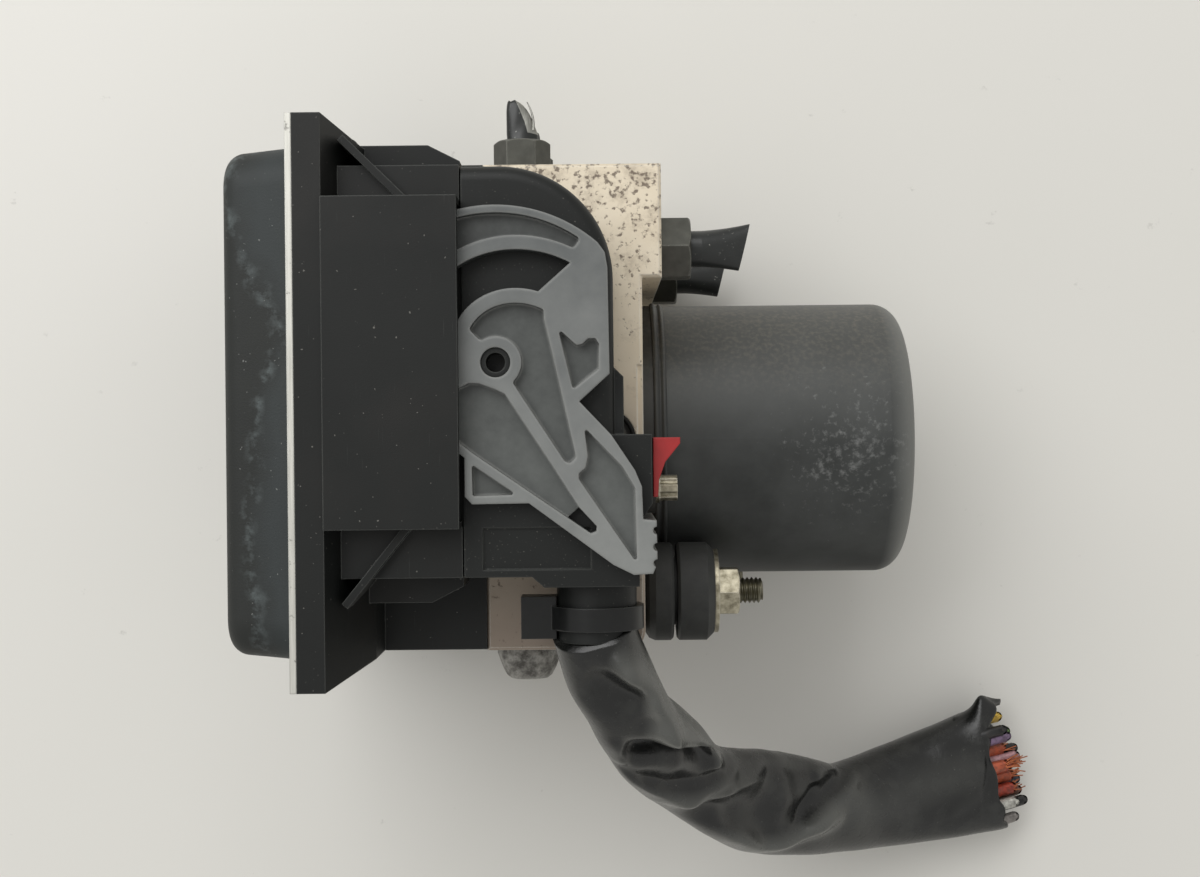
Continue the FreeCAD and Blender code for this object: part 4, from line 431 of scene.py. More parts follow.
# Light: a large window beyond the top left and a smaller lamp beyond the top edge, both soft, in a
# pale room that shows a little brighter to the camera and in metal than it lights.
for name, position, size, power in (
    ("window", (-0.60, 0.58, 1.02), 0.9, 7.9),
    ("top_lamp", (-0.05, 0.90, 0.90), 0.6, 2.6),
):
    lamp_data = bpy.data.lights.new(name, "AREA")
    lamp_data.size = size
    lamp_data.energy = power
    lamp = bpy.data.objects.new(name, lamp_data)
    lamp.location = position
    lamp.rotation_euler = (-Vector(position)).to_track_quat("-Z", "Y").to_euler()
    scene.collection.objects.link(lamp)
world = bpy.data.worlds.new("room")
world.use_nodes = True
scene.world = world
tree = world.node_tree
ray = add(tree, "LightPath")
mirrored = add(tree, "Math", {0: ray.outputs["Is Glossy Ray"],
                              1: ray.outputs["Is Transmission Ray"]}, operation="MAXIMUM")
seen = add(tree, "Math", {0: ray.outputs["Is Camera Ray"], 1: mirrored.outputs[0]},
           operation="MAXIMUM")
level = add(tree, "MapRange", {"Value": seen.outputs[0], "To Min": 0.70, "To Max": 0.75})
fill(tree, tree.nodes["Background"], {"Color": tone("#f2f1ee"), "Strength": level.outputs[0]})

# Control unit's cover: pillowed shell in black glass-filled PBT with a fine moulded grain, dull
# and dusty, with the bluish film that dried water has left in patches along the side by the plate.


def edge_mask(tree, radius, low, high):
    """How near a point is to an edge of the shape, from 0 on flats to 1, by its rounded normal."""
    rounded = add(tree, "Bevel", {"Radius": radius}, samples=4)
    plain = add(tree, "NewGeometry")
    likeness = add(tree, "VectorMath", {0: rounded.outputs[0], 1: plain.outputs["Normal"]},
                   operation="DOT_PRODUCT")
    return add(tree, "MapRange", {"Value": likeness.outputs["Value"], "From Min": low,
                                  "From Max": high}).outputs[0], rounded.outputs[0]


def coat(names, material):
    """Gives CAD nodes their material."""
    for name in names:
        for slot in nodes[name].material_slots:
            slot.material = material


# glass-filled PBT from a grained mould: the eye sees a dull black, never a clear reflection; the
# real grain is 0.1 mm and is drawn at 0.4 mm so that it shows
cover_plastic, tree, shader, mm = new_finish("grained_black_pbt", 0.55)
fill(tree, shader, {"Specular IOR Level": 0.28})
grain = add(tree, "TexNoise", {"Vector": mm, "Scale": 2.6, "Detail": 3.0})
cloud = add(tree, "TexNoise", {"Vector": mm, "Scale": 0.07, "Detail": 4.0})
body = add(tree, "MixRGB", {"Fac": cloud.outputs[0], "Color1": tone("#202221"),
                            "Color2": tone("#2b2d2b")})
# the tide line of the dried water wanders along the middle of the cover's side, 5 mm wide, and
# a thin haze lies between it and the plate
tide_x = -68.0
axes = add(tree, "SeparateXYZ", {0: mm})
wander = add(tree, "TexNoise", {"Vector": mm, "Scale": 0.03, "Detail": 4.0, "Roughness": 0.5})
drift = add(tree, "MapRange", {"Value": wander.outputs[0], "From Min": 0.3, "From Max": 0.7,
                               "To Min": -6.0, "To Max": 6.0})
from_tide = add(tree, "Math", {0: axes.outputs["X"], 1: drift.outputs[0]}, operation="ADD")
distance = add(tree, "Math", {0: from_tide.outputs[0], 1: tide_x}, operation="SUBTRACT")
closeness = add(tree, "Math", {0: distance.outputs[0]}, operation="ABSOLUTE")
tide = add(tree, "MapRange", {"Value": closeness.outputs[0], "From Min": 2.6, "From Max": 0.0,
                              "To Max": 0.5})
broken = add(tree, "TexNoise", {"Vector": mm, "Scale": 0.32, "Detail": 6.0, "Roughness": 0.65})
patchy = add(tree, "MapRange", {"Value": broken.outputs[0], "From Min": 0.47, "From Max": 0.68})
tide_patch = add(tree, "Math", {0: tide.outputs[0], 1: patchy.outputs[0]}, operation="MULTIPLY")
haze = add(tree, "MapRange", {"Value": distance.outputs[0], "From Min": -1.0, "From Max": 5.0,
                              "To Max": 0.22})
hazed = add(tree, "MixRGB", {"Fac": haze.outputs[0], "Color1": body.outputs[0],
                             "Color2": tone("#4d565a")})
stained = add(tree, "MixRGB", {"Fac": tide_patch.outputs[0], "Color1": hazed.outputs[0],
                               "Color2": tone("#717a7b")})
fluff = add(tree, "TexNoise", {"Vector": mm, "Scale": 1.5, "Detail": 1.0})
specks = add(tree, "MapRange", {"Value": fluff.outputs[0], "From Min": 0.76, "From Max": 0.79,
                                "To Max": 0.5})
dusted = add(tree, "MixRGB", {"Fac": specks.outputs[0], "Color1": stained.outputs[0],
                              "Color2": tone("#8f918e")})
edge, rounded = edge_mask(tree, 0.0012, 0.98, 0.75)
# grey edges: partly wear, partly a painted highlight
edge_wear_and_highlight = add(tree, "MixRGB", {"Fac": edge, "Color1": dusted.outputs[0], "Color2": tone("#4a4b4a")})
bump = add(tree, "Bump", {"Height": grain.outputs[0], "Strength": 0.25, "Distance": 0.0002,
                          "Normal": rounded})
fill(tree, shader, {"Base Color": edge_wear_and_highlight.outputs[0], "Normal": bump.outputs[0]})
coat(["ecu_cover"], cover_plastic)

# Plate behind the cover: 1.3 mm aluminium sheet, sheared to size and clamped between cover and
# housing. Its cut edge is bright, streaked by the shear, with grey dirt in places.
# bare aluminium: a bright line between the two black mouldings, with fine streaks along its length
sheet, tree, shader, mm = new_finish("sheared_aluminium_sheet", 0.45, 0.7)
streaks = add(tree, "Mapping", {"Vector": mm, "Scale": (3.0, 0.12, 0.2)})
shear = add(tree, "TexNoise", {"Vector": streaks.outputs[0], "Scale": 1.0, "Detail": 4.0})
shade = add(tree, "MixRGB", {"Fac": shear.outputs[0], "Color1": tone("#a9a8a1"),
                             "Color2": tone("#dcdbd4")})
dirt = add(tree, "TexNoise", {"Vector": mm, "Scale": 0.35, "Detail": 4.0, "Roughness": 0.7})
dirty = add(tree, "MapRange", {"Value": dirt.outputs[0], "From Min": 0.6, "From Max": 0.68,
                               "To Max": 0.7})
soiled = add(tree, "MixRGB", {"Fac": dirty.outputs[0], "Color1": shade.outputs[0],
                              "Color2": tone("#5b5955")})
gloss = add(tree, "MapRange", {"Value": shear.outputs[0], "To Min": 0.34, "To Max": 0.55})
edge, rounded = edge_mask(tree, 0.0004, 0.98, 0.75)
fill(tree, shader, {"Base Color": soiled.outputs[0], "Roughness": gloss.outputs[0],
                    "Normal": rounded})
coat(["ecu_plate"], sheet)

# Control unit's housing: one moulding in black glass-filled PBT, smoother than the cover. Brown
# road dust lies in its corners, and its edges and flats carry fine scratches.
# glass-filled PBT from a polished mould: deep black with a broad satin light on its edges
housing_plastic, tree, shader, mm = new_finish("black_pbt", 0.48)
fill(tree, shader, {"Specular IOR Level": 0.28})
cloud = add(tree, "TexNoise", {"Vector": mm, "Scale": 0.05, "Detail": 5.0, "Roughness": 0.6})
fine = add(tree, "TexNoise", {"Vector": mm, "Scale": 3.2, "Detail": 2.0})
body = add(tree, "MixRGB", {"Fac": cloud.outputs[0], "Color1": tone("#0d0f0e"),
                            "Color2": tone("#181a19")})
# silt in clouds about 30 mm wide, and scratches 0.3 mm wide that run a little askew
brown = add(tree, "TexNoise", {"Vector": mm, "Scale": 0.035, "Detail": 4.0})
silt = add(tree, "MapRange", {"Value": brown.outputs[0], "From Min": 0.5, "From Max": 0.7,
                              "To Max": 0.35})
silted = add(tree, "MixRGB", {"Fac": silt.outputs[0], "Color1": body.outputs[0],
                              "Color2": tone("#242220")})
stretch = add(tree, "Mapping", {"Vector": mm, "Scale": (3.5, 0.10, 1.0), "Rotation": (0, 0, 0.12)})
scratch = add(tree, "TexNoise", {"Vector": stretch.outputs[0], "Scale": 1.0, "Detail": 3.0})
scratched = add(tree, "MapRange", {"Value": scratch.outputs[0], "From Min": 0.68, "From Max": 0.76,
                                   "To Max": 0.15})
lined = add(tree, "MixRGB", {"Fac": scratched.outputs[0], "Color1": silted.outputs[0],
                             "Color2": tone("#5c5e5b")})
fluff = add(tree, "TexNoise", {"Vector": mm, "Scale": 1.3, "Detail": 1.0})
specks = add(tree, "MapRange", {"Value": fluff.outputs[0], "From Min": 0.765, "From Max": 0.79,
                                "To Max": 0.45})
dusted = add(tree, "MixRGB", {"Fac": specks.outputs[0], "Color1": lined.outputs[0],
                              "Color2": tone("#8b8983")})
edge, rounded = edge_mask(tree, 0.0004, 0.97, 0.75)
# grey edges: partly wear and scratches, partly a painted highlight
edge_wear_and_highlight = add(tree, "MixRGB", {"Fac": edge, "Color1": dusted.outputs[0], "Color2": tone("#60625f")})
bump = add(tree, "Bump", {"Height": fine.outputs[0], "Strength": 0.16, "Distance": 0.0001,
                          "Normal": rounded})
fill(tree, shader, {"Base Color": edge_wear_and_highlight.outputs[0], "Normal": bump.outputs[0]})
coat(["ecu_housing"], housing_plastic)

# Valve block: extruded aluminium, sawn and milled, left bare. Road salt has eaten clusters of
# brown pits into it, thickest along the top and motor edges, and towards its foot it grows darker
# and browner, partly from a dull brown film and partly from painted shade.
# weathered aluminium: oxide and salt dull it, so the eye gets a pale warm sheen, not a mirror
block_metal, tree, shader, mm = new_finish("milled_aluminium", 0.48, 0.35)
axes = add(tree, "SeparateXYZ", {0: mm})
cloud = add(tree, "TexNoise", {"Vector": mm, "Scale": 0.07, "Detail": 5.0, "Roughness": 0.6})
bright = add(tree, "MixRGB", {"Fac": cloud.outputs[0], "Color1": tone("#cfc0a6"),
                              "Color2": tone("#efe5d2")})
# towards the foot the block grows darker and browner, partly a brown film and partly painted shade;
# grime lies in spots 5 mm wide towards the top
painted_shading_ramp = add(tree, "MapRange", {"Value": axes.outputs["Y"], "From Min": 14.0, "From Max": -40.0,
                              "To Max": 0.85})
ramp_shaded = add(tree, "MixRGB", {"Fac": painted_shading_ramp.outputs[0], "Color1": bright.outputs[0],
                              "Color2": tone("#74665d")})
grime = add(tree, "TexNoise", {"Vector": mm, "Scale": 0.22, "Detail": 6.0, "Roughness": 0.7})
top = add(tree, "MapRange", {"Value": axes.outputs["Y"], "From Min": 20.0, "From Max": 60.0,
                             "To Min": -0.05, "To Max": 0.055})
raised_grime = add(tree, "Math", {0: grime.outputs[0], 1: top.outputs[0]}, operation="ADD")
greyed = add(tree, "MapRange", {"Value": raised_grime.outputs[0], "From Min": 0.52,
                                "From Max": 0.72, "To Max": 0.45})
grimy = add(tree, "MixRGB", {"Fac": greyed.outputs[0], "Color1": ramp_shaded.outputs[0],
                             "Color2": tone("#8b7d6c")})
# pits about 1 mm wide, deepest brown in their middle
pit_noise = add(tree, "TexNoise", {"Vector": mm, "Scale": 0.85, "Detail": 4.0, "Roughness": 0.55})
clusters = add(tree, "MapRange", {"Value": grime.outputs[0], "From Min": 0.35, "From Max": 0.65,
                                  "To Min": -0.06, "To Max": 0.04})
pit_sum = add(tree, "Math", {0: pit_noise.outputs[0], 1: clusters.outputs[0]}, operation="ADD")
pit_level = add(tree, "Math", {0: pit_sum.outputs[0], 1: top.outputs[0]}, operation="ADD")
pits = add(tree, "MapRange", {"Value": pit_level.outputs[0], "From Min": 0.575, "From Max": 0.66})
pit_colour = add(tree, "Math", {0: pits.outputs[0], 1: 0.8}, operation="MULTIPLY")
pitted = add(tree, "MixRGB", {"Fac": pit_colour.outputs[0], "Color1": grimy.outputs[0],
                              "Color2": tone("#57473a")})
dull = add(tree, "MapRange", {"Value": pits.outputs[0], "To Min": 0.35, "To Max": 0.05})
gloss = add(tree, "MapRange", {"Value": cloud.outputs[0], "To Min": 0.38, "To Max": 0.6})
edge, rounded = edge_mask(tree, 0.0005, 0.98, 0.75)
# pale edges: partly wear, partly a painted highlight
edge_wear_and_highlight = add(tree, "MixRGB", {"Fac": edge, "Color1": pitted.outputs[0], "Color2": tone("#e4e2d9")})
sunk = add(tree, "Bump", {"Height": pits.outputs[0], "Strength": 0.35, "Distance": 0.0002,
                          "Normal": rounded}, invert=True)
fill(tree, shader, {"Base Color": edge_wear_and_highlight.outputs[0], "Metallic": dull.outputs[0],
                    "Roughness": gloss.outputs[0], "Normal": sunk.outputs[0]})
coat(["hydraulic_block"], block_metal)

# Pump plugs: turned steel caps staked into the block, dull and dark, with a black ring of old
# sealant in their groove.
# turned steel gone dull: a dark, cloudy metal with a soft light in its middle
plug_steel, tree, shader, mm = new_finish("dull_turned_steel", 0.42, 0.75)
cloud = add(tree, "TexNoise", {"Vector": mm, "Scale": 0.35, "Detail": 5.0, "Roughness": 0.65})
body = add(tree, "MixRGB", {"Fac": cloud.outputs[0], "Color1": tone("#4d4c47"),
                            "Color2": tone("#7d7b74")})
# the sealant's ring begins 4.6 mm from the plug's middle
low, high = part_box("pump_plugs")
centre = add(tree, "VectorMath", {0: mm, 1: ((low.x + high.x) * 500, (low.y + high.y) * 500, 0.0)},
             operation="SUBTRACT")
flat = add(tree, "VectorMath", {0: centre.outputs[0], 1: (1.0, 1.0, 0.0)}, operation="MULTIPLY")
reach = add(tree, "VectorMath", {0: flat.outputs[0]}, operation="LENGTH")
outer = add(tree, "MapRange", {"Value": reach.outputs["Value"], "From Min": 4.6, "From Max": 5.2})
ringed = add(tree, "MixRGB", {"Fac": outer.outputs[0], "Color1": body.outputs[0],
                              "Color2": tone("#2c2b29")})
edge, rounded = edge_mask(tree, 0.0004, 0.98, 0.75)
fill(tree, shader, {"Base Color": ringed.outputs[0], "Normal": rounded})
coat(["pump_plugs"], plug_steel)

# Motor can: deep-drawn steel with a dark passivated coat, mottled, and paler on its upper side from
# dust and painted light, with white oxide spots on its plug side, a paler rim and brown grime next
# to the block.
# passivated steel: a dark grey with a wide soft light; its 0.2 mm grit is drawn at 1 mm to show
can_coat, tree, shader, mm = new_finish("passivated_drawn_steel", 0.5, 0.3)
axes = add(tree, "SeparateXYZ", {0: mm})
mottle = add(tree, "TexNoise", {"Vector": mm, "Scale": 0.07, "Detail": 6.0, "Roughness": 0.6})
grit = add(tree, "TexNoise", {"Vector": mm, "Scale": 0.9, "Detail": 4.0, "Roughness": 0.6})
tones = add(tree, "MapRange", {"Value": mottle.outputs[0], "From Min": 0.3, "From Max": 0.7})
body = add(tree, "MixRGB", {"Fac": tones.outputs[0], "Color1": tone("#2a2c2b"),
                            "Color2": tone("#414342")})
# dust lies on the can's upper side, placed there partly as painted light on that side
gritty = add(tree, "MapRange", {"Value": grit.outputs[0], "From Min": 0.45, "From Max": 0.7,
                                "To Max": 0.4})
upper = add(tree, "MapRange", {"Value": axes.outputs["Y"], "From Min": 8.0, "From Max": 28.0})
mask = add(tree, "Math", {0: gritty.outputs[0], 1: upper.outputs[0]}, operation="MULTIPLY")
# painted light: a smooth ramp that makes the can paler towards its upper side
painted_shading_ramp = add(tree, "MapRange", {"Value": axes.outputs["Y"], "From Min": -2.0, "From Max": 30.0,
                              "To Max": 0.7})
ramp_shaded = add(tree, "MixRGB", {"Fac": painted_shading_ramp.outputs[0], "Color1": body.outputs[0],
                              "Color2": tone("#5b5c5a")})
dust_and_painted_light = add(tree, "MixRGB", {"Fac": mask.outputs[0], "Color1": ramp_shaded.outputs[0],
                             "Color2": tone("#7f796d")})
# the oxide spots are 2 mm wide and lie within 30 mm of one place on the plug side
salt_place = (57.0, -3.0, 77.0)
bloom = add(tree, "TexNoise", {"Vector": mm, "Scale": 0.55, "Detail": 6.0, "Roughness": 0.7})
centre = add(tree, "VectorMath", {0: mm, 1: salt_place}, operation="DISTANCE")
near = add(tree, "MapRange", {"Value": centre.outputs["Value"], "From Min": 30.0, "From Max": 2.0,
                              "To Min": -0.14, "To Max": 0.08})
salt = add(tree, "Math", {0: bloom.outputs[0], 1: near.outputs[0]}, operation="ADD")
salted = add(tree, "MapRange", {"Value": salt.outputs[0], "From Min": 0.56, "From Max": 0.76,
                                "To Max": 0.45})
spotted = add(tree, "MixRGB", {"Fac": salted.outputs[0], "Color1": dust_and_painted_light.outputs[0],
                               "Color2": tone("#929392")})
# the rim is paler over its last 4 mm, and grime fills the corner within 6 mm of the block
rim = add(tree, "MapRange", {"Value": axes.outputs["X"], "From Min": 65.5, "From Max": 69.5,
                             "To Max": 0.7})
paled = add(tree, "MixRGB", {"Fac": rim.outputs[0], "Color1": spotted.outputs[0],
                              "Color2": tone("#7c7d7a")})
low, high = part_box("motor_can")
corner = add(tree, "MapRange", {"Value": axes.outputs["X"], "From Min": low.x * 1000 + 6.5,
                                "From Max": low.x * 1000 + 2.0})
smeared = add(tree, "Math", {0: corner.outputs[0], 1: tones.outputs[0]}, operation="MULTIPLY")
grimed = add(tree, "MixRGB", {"Fac": smeared.outputs[0], "Color1": paled.outputs[0],
                              "Color2": tone("#2b2724")})
dull = add(tree, "MapRange", {"Value": salted.outputs[0], "To Min": 0.3, "To Max": 0.0})
gloss = add(tree, "MapRange", {"Value": mottle.outputs[0], "To Min": 0.42, "To Max": 0.6})
bump = add(tree, "Bump", {"Height": grit.outputs[0], "Strength": 0.12, "Distance": 0.0002})
fill(tree, shader, {"Base Color": grimed.outputs[0], "Metallic": dull.outputs[0],
                    "Roughness": gloss.outputs[0], "Normal": bump.outputs[0]})
coat(["motor_can"], can_coat)
# the can's foot is rolled in two beads above its flange: millimetres from the block, then radius
bead_profile = [(2.7, 31.9), (2.8, 32.7), (3.2, 33.0), (3.7, 32.9), (4.0, 32.3), (4.5, 32.25),
                (4.8, 32.7), (5.2, 32.8), (5.6, 32.5), (5.8, 31.9)]
bead_centre = Vector((low.x, 0.0, (low.z + high.z) / 2))
bead_points, bead_faces = [], []
sides, count = 180, len(bead_profile)
for j in range(sides):
    a = 2 * math.pi * j / sides
    for rise, radius in bead_profile:
        offset = Vector((rise, radius * math.cos(a), radius * math.sin(a))) / 1000
        bead_points.append(bead_centre + offset)
for j in range(sides):
    k = (j + 1) % sides
    for i in range(count):
        n = (i + 1) % count
        bead_faces.append((j * count + i, k * count + i, k * count + n, j * count + n))
beads = piece("rolled_can_beads", bead_points, bead_faces, [can_coat])
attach(beads, "unit")

# Fasteners: the motor's bolts, the mounts' nuts and washers and the control unit's screws, cold
# formed in steel and zinc plated. The plating is yellowed and stained, and its corners are bright,
# partly from wear and partly from a painted highlight.
# zinc plate: a warm bright metal with cloudy stains about 2 mm wide
zinc, tree, shader, mm = new_finish("zinc_plated_steel", 0.38, 0.9)
cloud = add(tree, "TexNoise", {"Vector": mm, "Scale": 0.5, "Detail": 5.0, "Roughness": 0.6})
shade = add(tree, "MapRange", {"Value": cloud.outputs[0], "From Min": 0.35, "From Max": 0.65})
body = add(tree, "MixRGB", {"Fac": shade.outputs[0], "Color1": tone("#77715f"),
                            "Color2": tone("#c2bba6")})
edge, rounded = edge_mask(tree, 0.0004, 0.98, 0.75)
# bright corners: partly wear, partly a painted highlight
edge_wear_and_highlight = add(tree, "MixRGB", {"Fac": edge, "Color1": body.outputs[0], "Color2": tone("#dedacb")})
gloss = add(tree, "MapRange", {"Value": cloud.outputs[0], "To Min": 0.26, "To Max": 0.5})
fill(tree, shader, {"Base Color": edge_wear_and_highlight.outputs[0], "Roughness": gloss.outputs[0],
                    "Normal": rounded})
coat(["motor_bolts", "mount_nuts", "mount_washers", "ecu_screws"], zinc)

# Mounting studs: two M6 steel studs screwed into the block's motor side, their thread rolled at a
# pitch of 1 mm and zinc plated, with old grease that leaves the grooves darker.
# dulled zinc: a brownish metal whose light runs along the crests of the thread
stud_metal, tree, shader, mm = new_finish("dulled_zinc_thread", 0.4, 1.0)
cloud = add(tree, "TexNoise", {"Vector": mm, "Scale": 0.9, "Detail": 4.0})
body = add(tree, "MixRGB", {"Fac": cloud.outputs[0], "Color1": tone("#55534a"),
                            "Color2": tone("#96927f")})
fill(tree, shader, {"Base Color": body.outputs[0]})
stud_low, stud_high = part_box("mount_studs")
stud_radius = 0.003
stud_y = (stud_low.y + stud_high.y) / 2
pitch, thread_depth, per_turn, sides = 0.001, 0.0006, 8, 48
tip_bevel = 0.0006
stud_points, stud_faces = [], []
for stud_z in (stud_low.z + stud_radius, stud_high.z - stud_radius):
    base = len(stud_points)
    length = stud_high.x - stud_low.x
    rows = int(length / pitch * per_turn) + 1
    for i in range(rows):
        x = stud_low.x + length * i / (rows - 1)
        bevel = max(0.0, x - (stud_high.x - tip_bevel))
        for j in range(sides):
            phase = (x / pitch - j / sides) % 1.0
            groove = min(phase, 1 - phase) * 2
            radius = stud_radius - thread_depth * min(1.0, groove * 1.15) - bevel
            a = 2 * math.pi * j / sides
            stud_points.append((x, stud_y + radius * math.cos(a), stud_z + radius * math.sin(a)))
    stud_faces.extend(tube_faces(base, rows, sides))
    stud_faces.append(tuple(base + (rows - 1) * sides + j for j in range(sides)))
    stud_faces.append(tuple(base + j for j in reversed(range(sides))))
studs = piece("threaded_studs", stud_points, stud_faces, [stud_metal], smooth=False)
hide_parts("mount_studs")
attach(studs, "unit")

# Unions and their cut pipes: machined steel union nuts with a black zinc finish, and steel brake
# pipes in a dark polymer coat, sheared so that their ends are pinched and bright.
# black zinc over steel: a dark metal sheen, grey on the corners, partly worn and partly a painted
# highlight
union_metal, tree, shader, mm = new_finish("black_zinc_steel", 0.38, 0.8)
cloud = add(tree, "TexNoise", {"Vector": mm, "Scale": 0.4, "Detail": 5.0})
body = add(tree, "MixRGB", {"Fac": cloud.outputs[0], "Color1": tone("#3b3b37"),
                            "Color2": tone("#5d5d57")})
edge, rounded = edge_mask(tree, 0.0005, 0.98, 0.75)
# grey corners: partly wear, partly a painted highlight
edge_wear_and_highlight = add(tree, "MixRGB", {"Fac": edge, "Color1": body.outputs[0], "Color2": tone("#8a8a83")})
fill(tree, shader, {"Base Color": edge_wear_and_highlight.outputs[0], "Normal": rounded})
coat(["wheel_pipe_nuts", "inlet_pipe_nuts"], union_metal)
# polymer coat over steel pipe: glossy black, with chips about 1 mm wide where the steel shows
pipe_coat, tree, shader, mm = new_finish("coated_brake_pipe", 0.34, 0.1)
cloud = add(tree, "TexNoise", {"Vector": mm, "Scale": 0.35, "Detail": 4.0})
body = add(tree, "MixRGB", {"Fac": cloud.outputs[0], "Color1": tone("#151716"),
                            "Color2": tone("#292b2a")})
bare = add(tree, "TexNoise", {"Vector": mm, "Scale": 0.8, "Detail": 5.0, "Roughness": 0.7})
chips = add(tree, "MapRange", {"Value": bare.outputs[0], "From Min": 0.64, "From Max": 0.68})
chipped = add(tree, "MixRGB", {"Fac": chips.outputs[0], "Color1": body.outputs[0],
                               "Color2": tone("#9a9a95")})
steely = add(tree, "MapRange", {"Value": chips.outputs[0], "To Min": 0.1, "To Max": 0.9})
fill(tree, shader, {"Base Color": chipped.outputs[0], "Metallic": steely.outputs[0]})
coat(["inlet_pipe_stubs"], pipe_coat)

# Cut wheel pipes: each was sheared and torn off above its nut, so that it is squeezed flat, runs up
# to one side, and shows bare bright steel along the slanting cut, with a curled burr beside it.
# freshly torn steel: bright, drawn into fine grey lines along the tear
torn_steel, tree, shader, mm = new_finish("torn_bright_steel", 0.34, 0.9)
tears = add(tree, "Mapping", {"Vector": mm, "Scale": (2.4, 0.35, 1.0), "Rotation": (0, 0, -0.4)})
torn = add(tree, "TexNoise", {"Vector": tears.outputs[0], "Scale": 1.0, "Detail": 5.0,
                              "Roughness": 0.7})
body = add(tree, "MixRGB", {"Fac": torn.outputs[0], "Color1": tone("#55554f"),
                            "Color2": tone("#b9b8b2")})
bump = add(tree, "Bump", {"Height": torn.outputs[0], "Strength": 0.4, "Distance": 0.0002})
fill(tree, shader, {"Base Color": body.outputs[0], "Normal": bump.outputs[0]})
stub_low, stub_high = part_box("wheel_pipe_stubs")
nut_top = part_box("wheel_pipe_nuts")[1].y
stub_x = (stub_low.x + stub_high.x) / 2
# share of the height over the nut, then millimetres: left and right edge, half thickness, lean
tear_rows = [(0.0, -3.0, 3.2, 2.3, 0.0), (0.08, -3.3, 3.7, 2.1, 0.0), (0.22, -3.4, 3.7, 1.9, 0.1),
             (0.36, -3.4, 3.2, 1.7, 0.2), (0.52, -3.4, 2.6, 1.6, 0.3), (0.66, -3.4, 1.9, 1.4, 0.35),
             (0.78, -3.4, 1.2, 1.3, 0.4), (0.90, -3.3, 0.3, 1.1, 0.4), (0.97, -3.1, -0.4, 0.9, 0.4),
             (1.0, -2.8, -1.0, 0.6, 0.4)]
stub_points, stub_faces, stub_choices = [], [], []
sides = 36
whole_pipe = [(nut_top - 0.012, -2.4, 2.4, 2.4, 0.0), (nut_top - 0.0012, -2.4, 2.4, 2.4, 0.0)]
last_row = len(whole_pipe) + len(tear_rows) - 1
for stub_z, tall, hand in ((0.077, 0.0096, 1), (0.056, 0.0062, -1), (0.036, 0.0074, 1),
                           (0.015, 0.005, -1)):
    base = len(stub_points)
    rows = whole_pipe + [(nut_top + tall * share - 0.0004, left, right, thick, lean)
                         for share, left, right, thick, lean in tear_rows]
    for row, (y, left, right, thick, lean) in enumerate(rows):
        for j in range(sides):
            a = 2 * math.pi * j / sides
            wide = (right - left) / 2 * math.cos(a)
            dent = 0.25 * math.sin(5 * a + 1.7 * row) if row > 2 else 0.0
            deep = (thick + 0.3 * dent) * math.copysign(abs(math.sin(a)) ** 0.8, math.sin(a)) + lean
            stub_points.append((stub_x + hand * ((right + left) / 2 + wide) / 1000,
                                y + 0.0002 * math.sin(3 * a + row), stub_z + deep / 1000))
    # the bare steel shows on the slanting side and across the tip
    for number, face in enumerate(tube_faces(base, len(rows), sides)):
        i, j = divmod(number, sides)
        cut_side = i > 3 and (j < 7 or j > sides - 8)
        stub_faces.append(face if hand < 0 else face[::-1])
        stub_choices.append(1 if cut_side else 0)
    stub_faces.append(tuple(base + last_row * sides + j for j in range(sides)))
    stub_faces.append(tuple(base + j for j in range(sides)))
    stub_choices += [1, 0]
    # the burr: a thin strip that curls up beside the cut and narrows towards its end
    strip, steps = len(stub_points), 9
    for step in range(steps):
        share = step / (steps - 1)
        x = stub_x + hand * (0.0026 - 0.0014 * share + 0.0006 * math.sin(3 * share))
        y = nut_top + tall * (0.25 + 0.68 * share)
        thin = 0.00035 * (1 - 0.6 * share)
        z = stub_z + 0.0012 - 0.0006 * share
        stub_points += [(x - thin, y, z), (x, y, z + 2.2 * thin),
                        (x + thin, y, z), (x, y, z - 2.2 * thin)]
    stub_faces.extend(tube_faces(strip, steps, 4))
    stub_faces.append(tuple(range(strip + 4 * steps - 4, strip + 4 * steps)))
    stub_choices.extend([1] * (len(stub_faces) - len(stub_choices)))
pipe_ends = piece("torn_wheel_pipes", stub_points, stub_faces, [pipe_coat, torn_steel],
                  choices=stub_choices)
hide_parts("wheel_pipe_stubs")
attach(pipe_ends, "unit")

# Rubber mounts and the locating bush: moulded black EPDM round steel sleeves and a pin. The mounts
# are matt and greyed by dust, and the bush is chalky where its skin has oxidised.
# moulded rubber: matt dark grey, with no sharp reflection and a faintly uneven skin
epdm, tree, shader, mm = new_finish("moulded_rubber", 0.62)
cloud = add(tree, "TexNoise", {"Vector": mm, "Scale": 0.3, "Detail": 6.0, "Roughness": 0.65})
body = add(tree, "MixRGB", {"Fac": cloud.outputs[0], "Color1": tone("#1d1e1d"),
                            "Color2": tone("#3b3c3a")})
bump = add(tree, "Bump", {"Height": cloud.outputs[0], "Strength": 0.25, "Distance": 0.0002})
fill(tree, shader, {"Base Color": body.outputs[0], "Normal": bump.outputs[0]})
coat(["mount_rubbers", "plug_seal"], epdm)
# oxidised rubber: pale chalky patches, 2 to 3 mm wide, over grey
bush_rubber, tree, shader, mm = new_finish("oxide_stained_rubber", 0.5)
cloud = add(tree, "TexNoise", {"Vector": mm, "Scale": 0.35, "Detail": 6.0, "Roughness": 0.7})
chalk = add(tree, "MapRange", {"Value": cloud.outputs[0], "From Min": 0.4, "From Max": 0.62})
body = add(tree, "MixRGB", {"Fac": chalk.outputs[0], "Color1": tone("#4a4742"),
                            "Color2": tone("#9c9a94")})
bump = add(tree, "Bump", {"Height": cloud.outputs[0], "Strength": 0.3, "Distance": 0.0003})
fill(tree, shader, {"Base Color": body.outputs[0], "Normal": bump.outputs[0]})
coat(["locator_bush", "locator_ring"], bush_rubber)
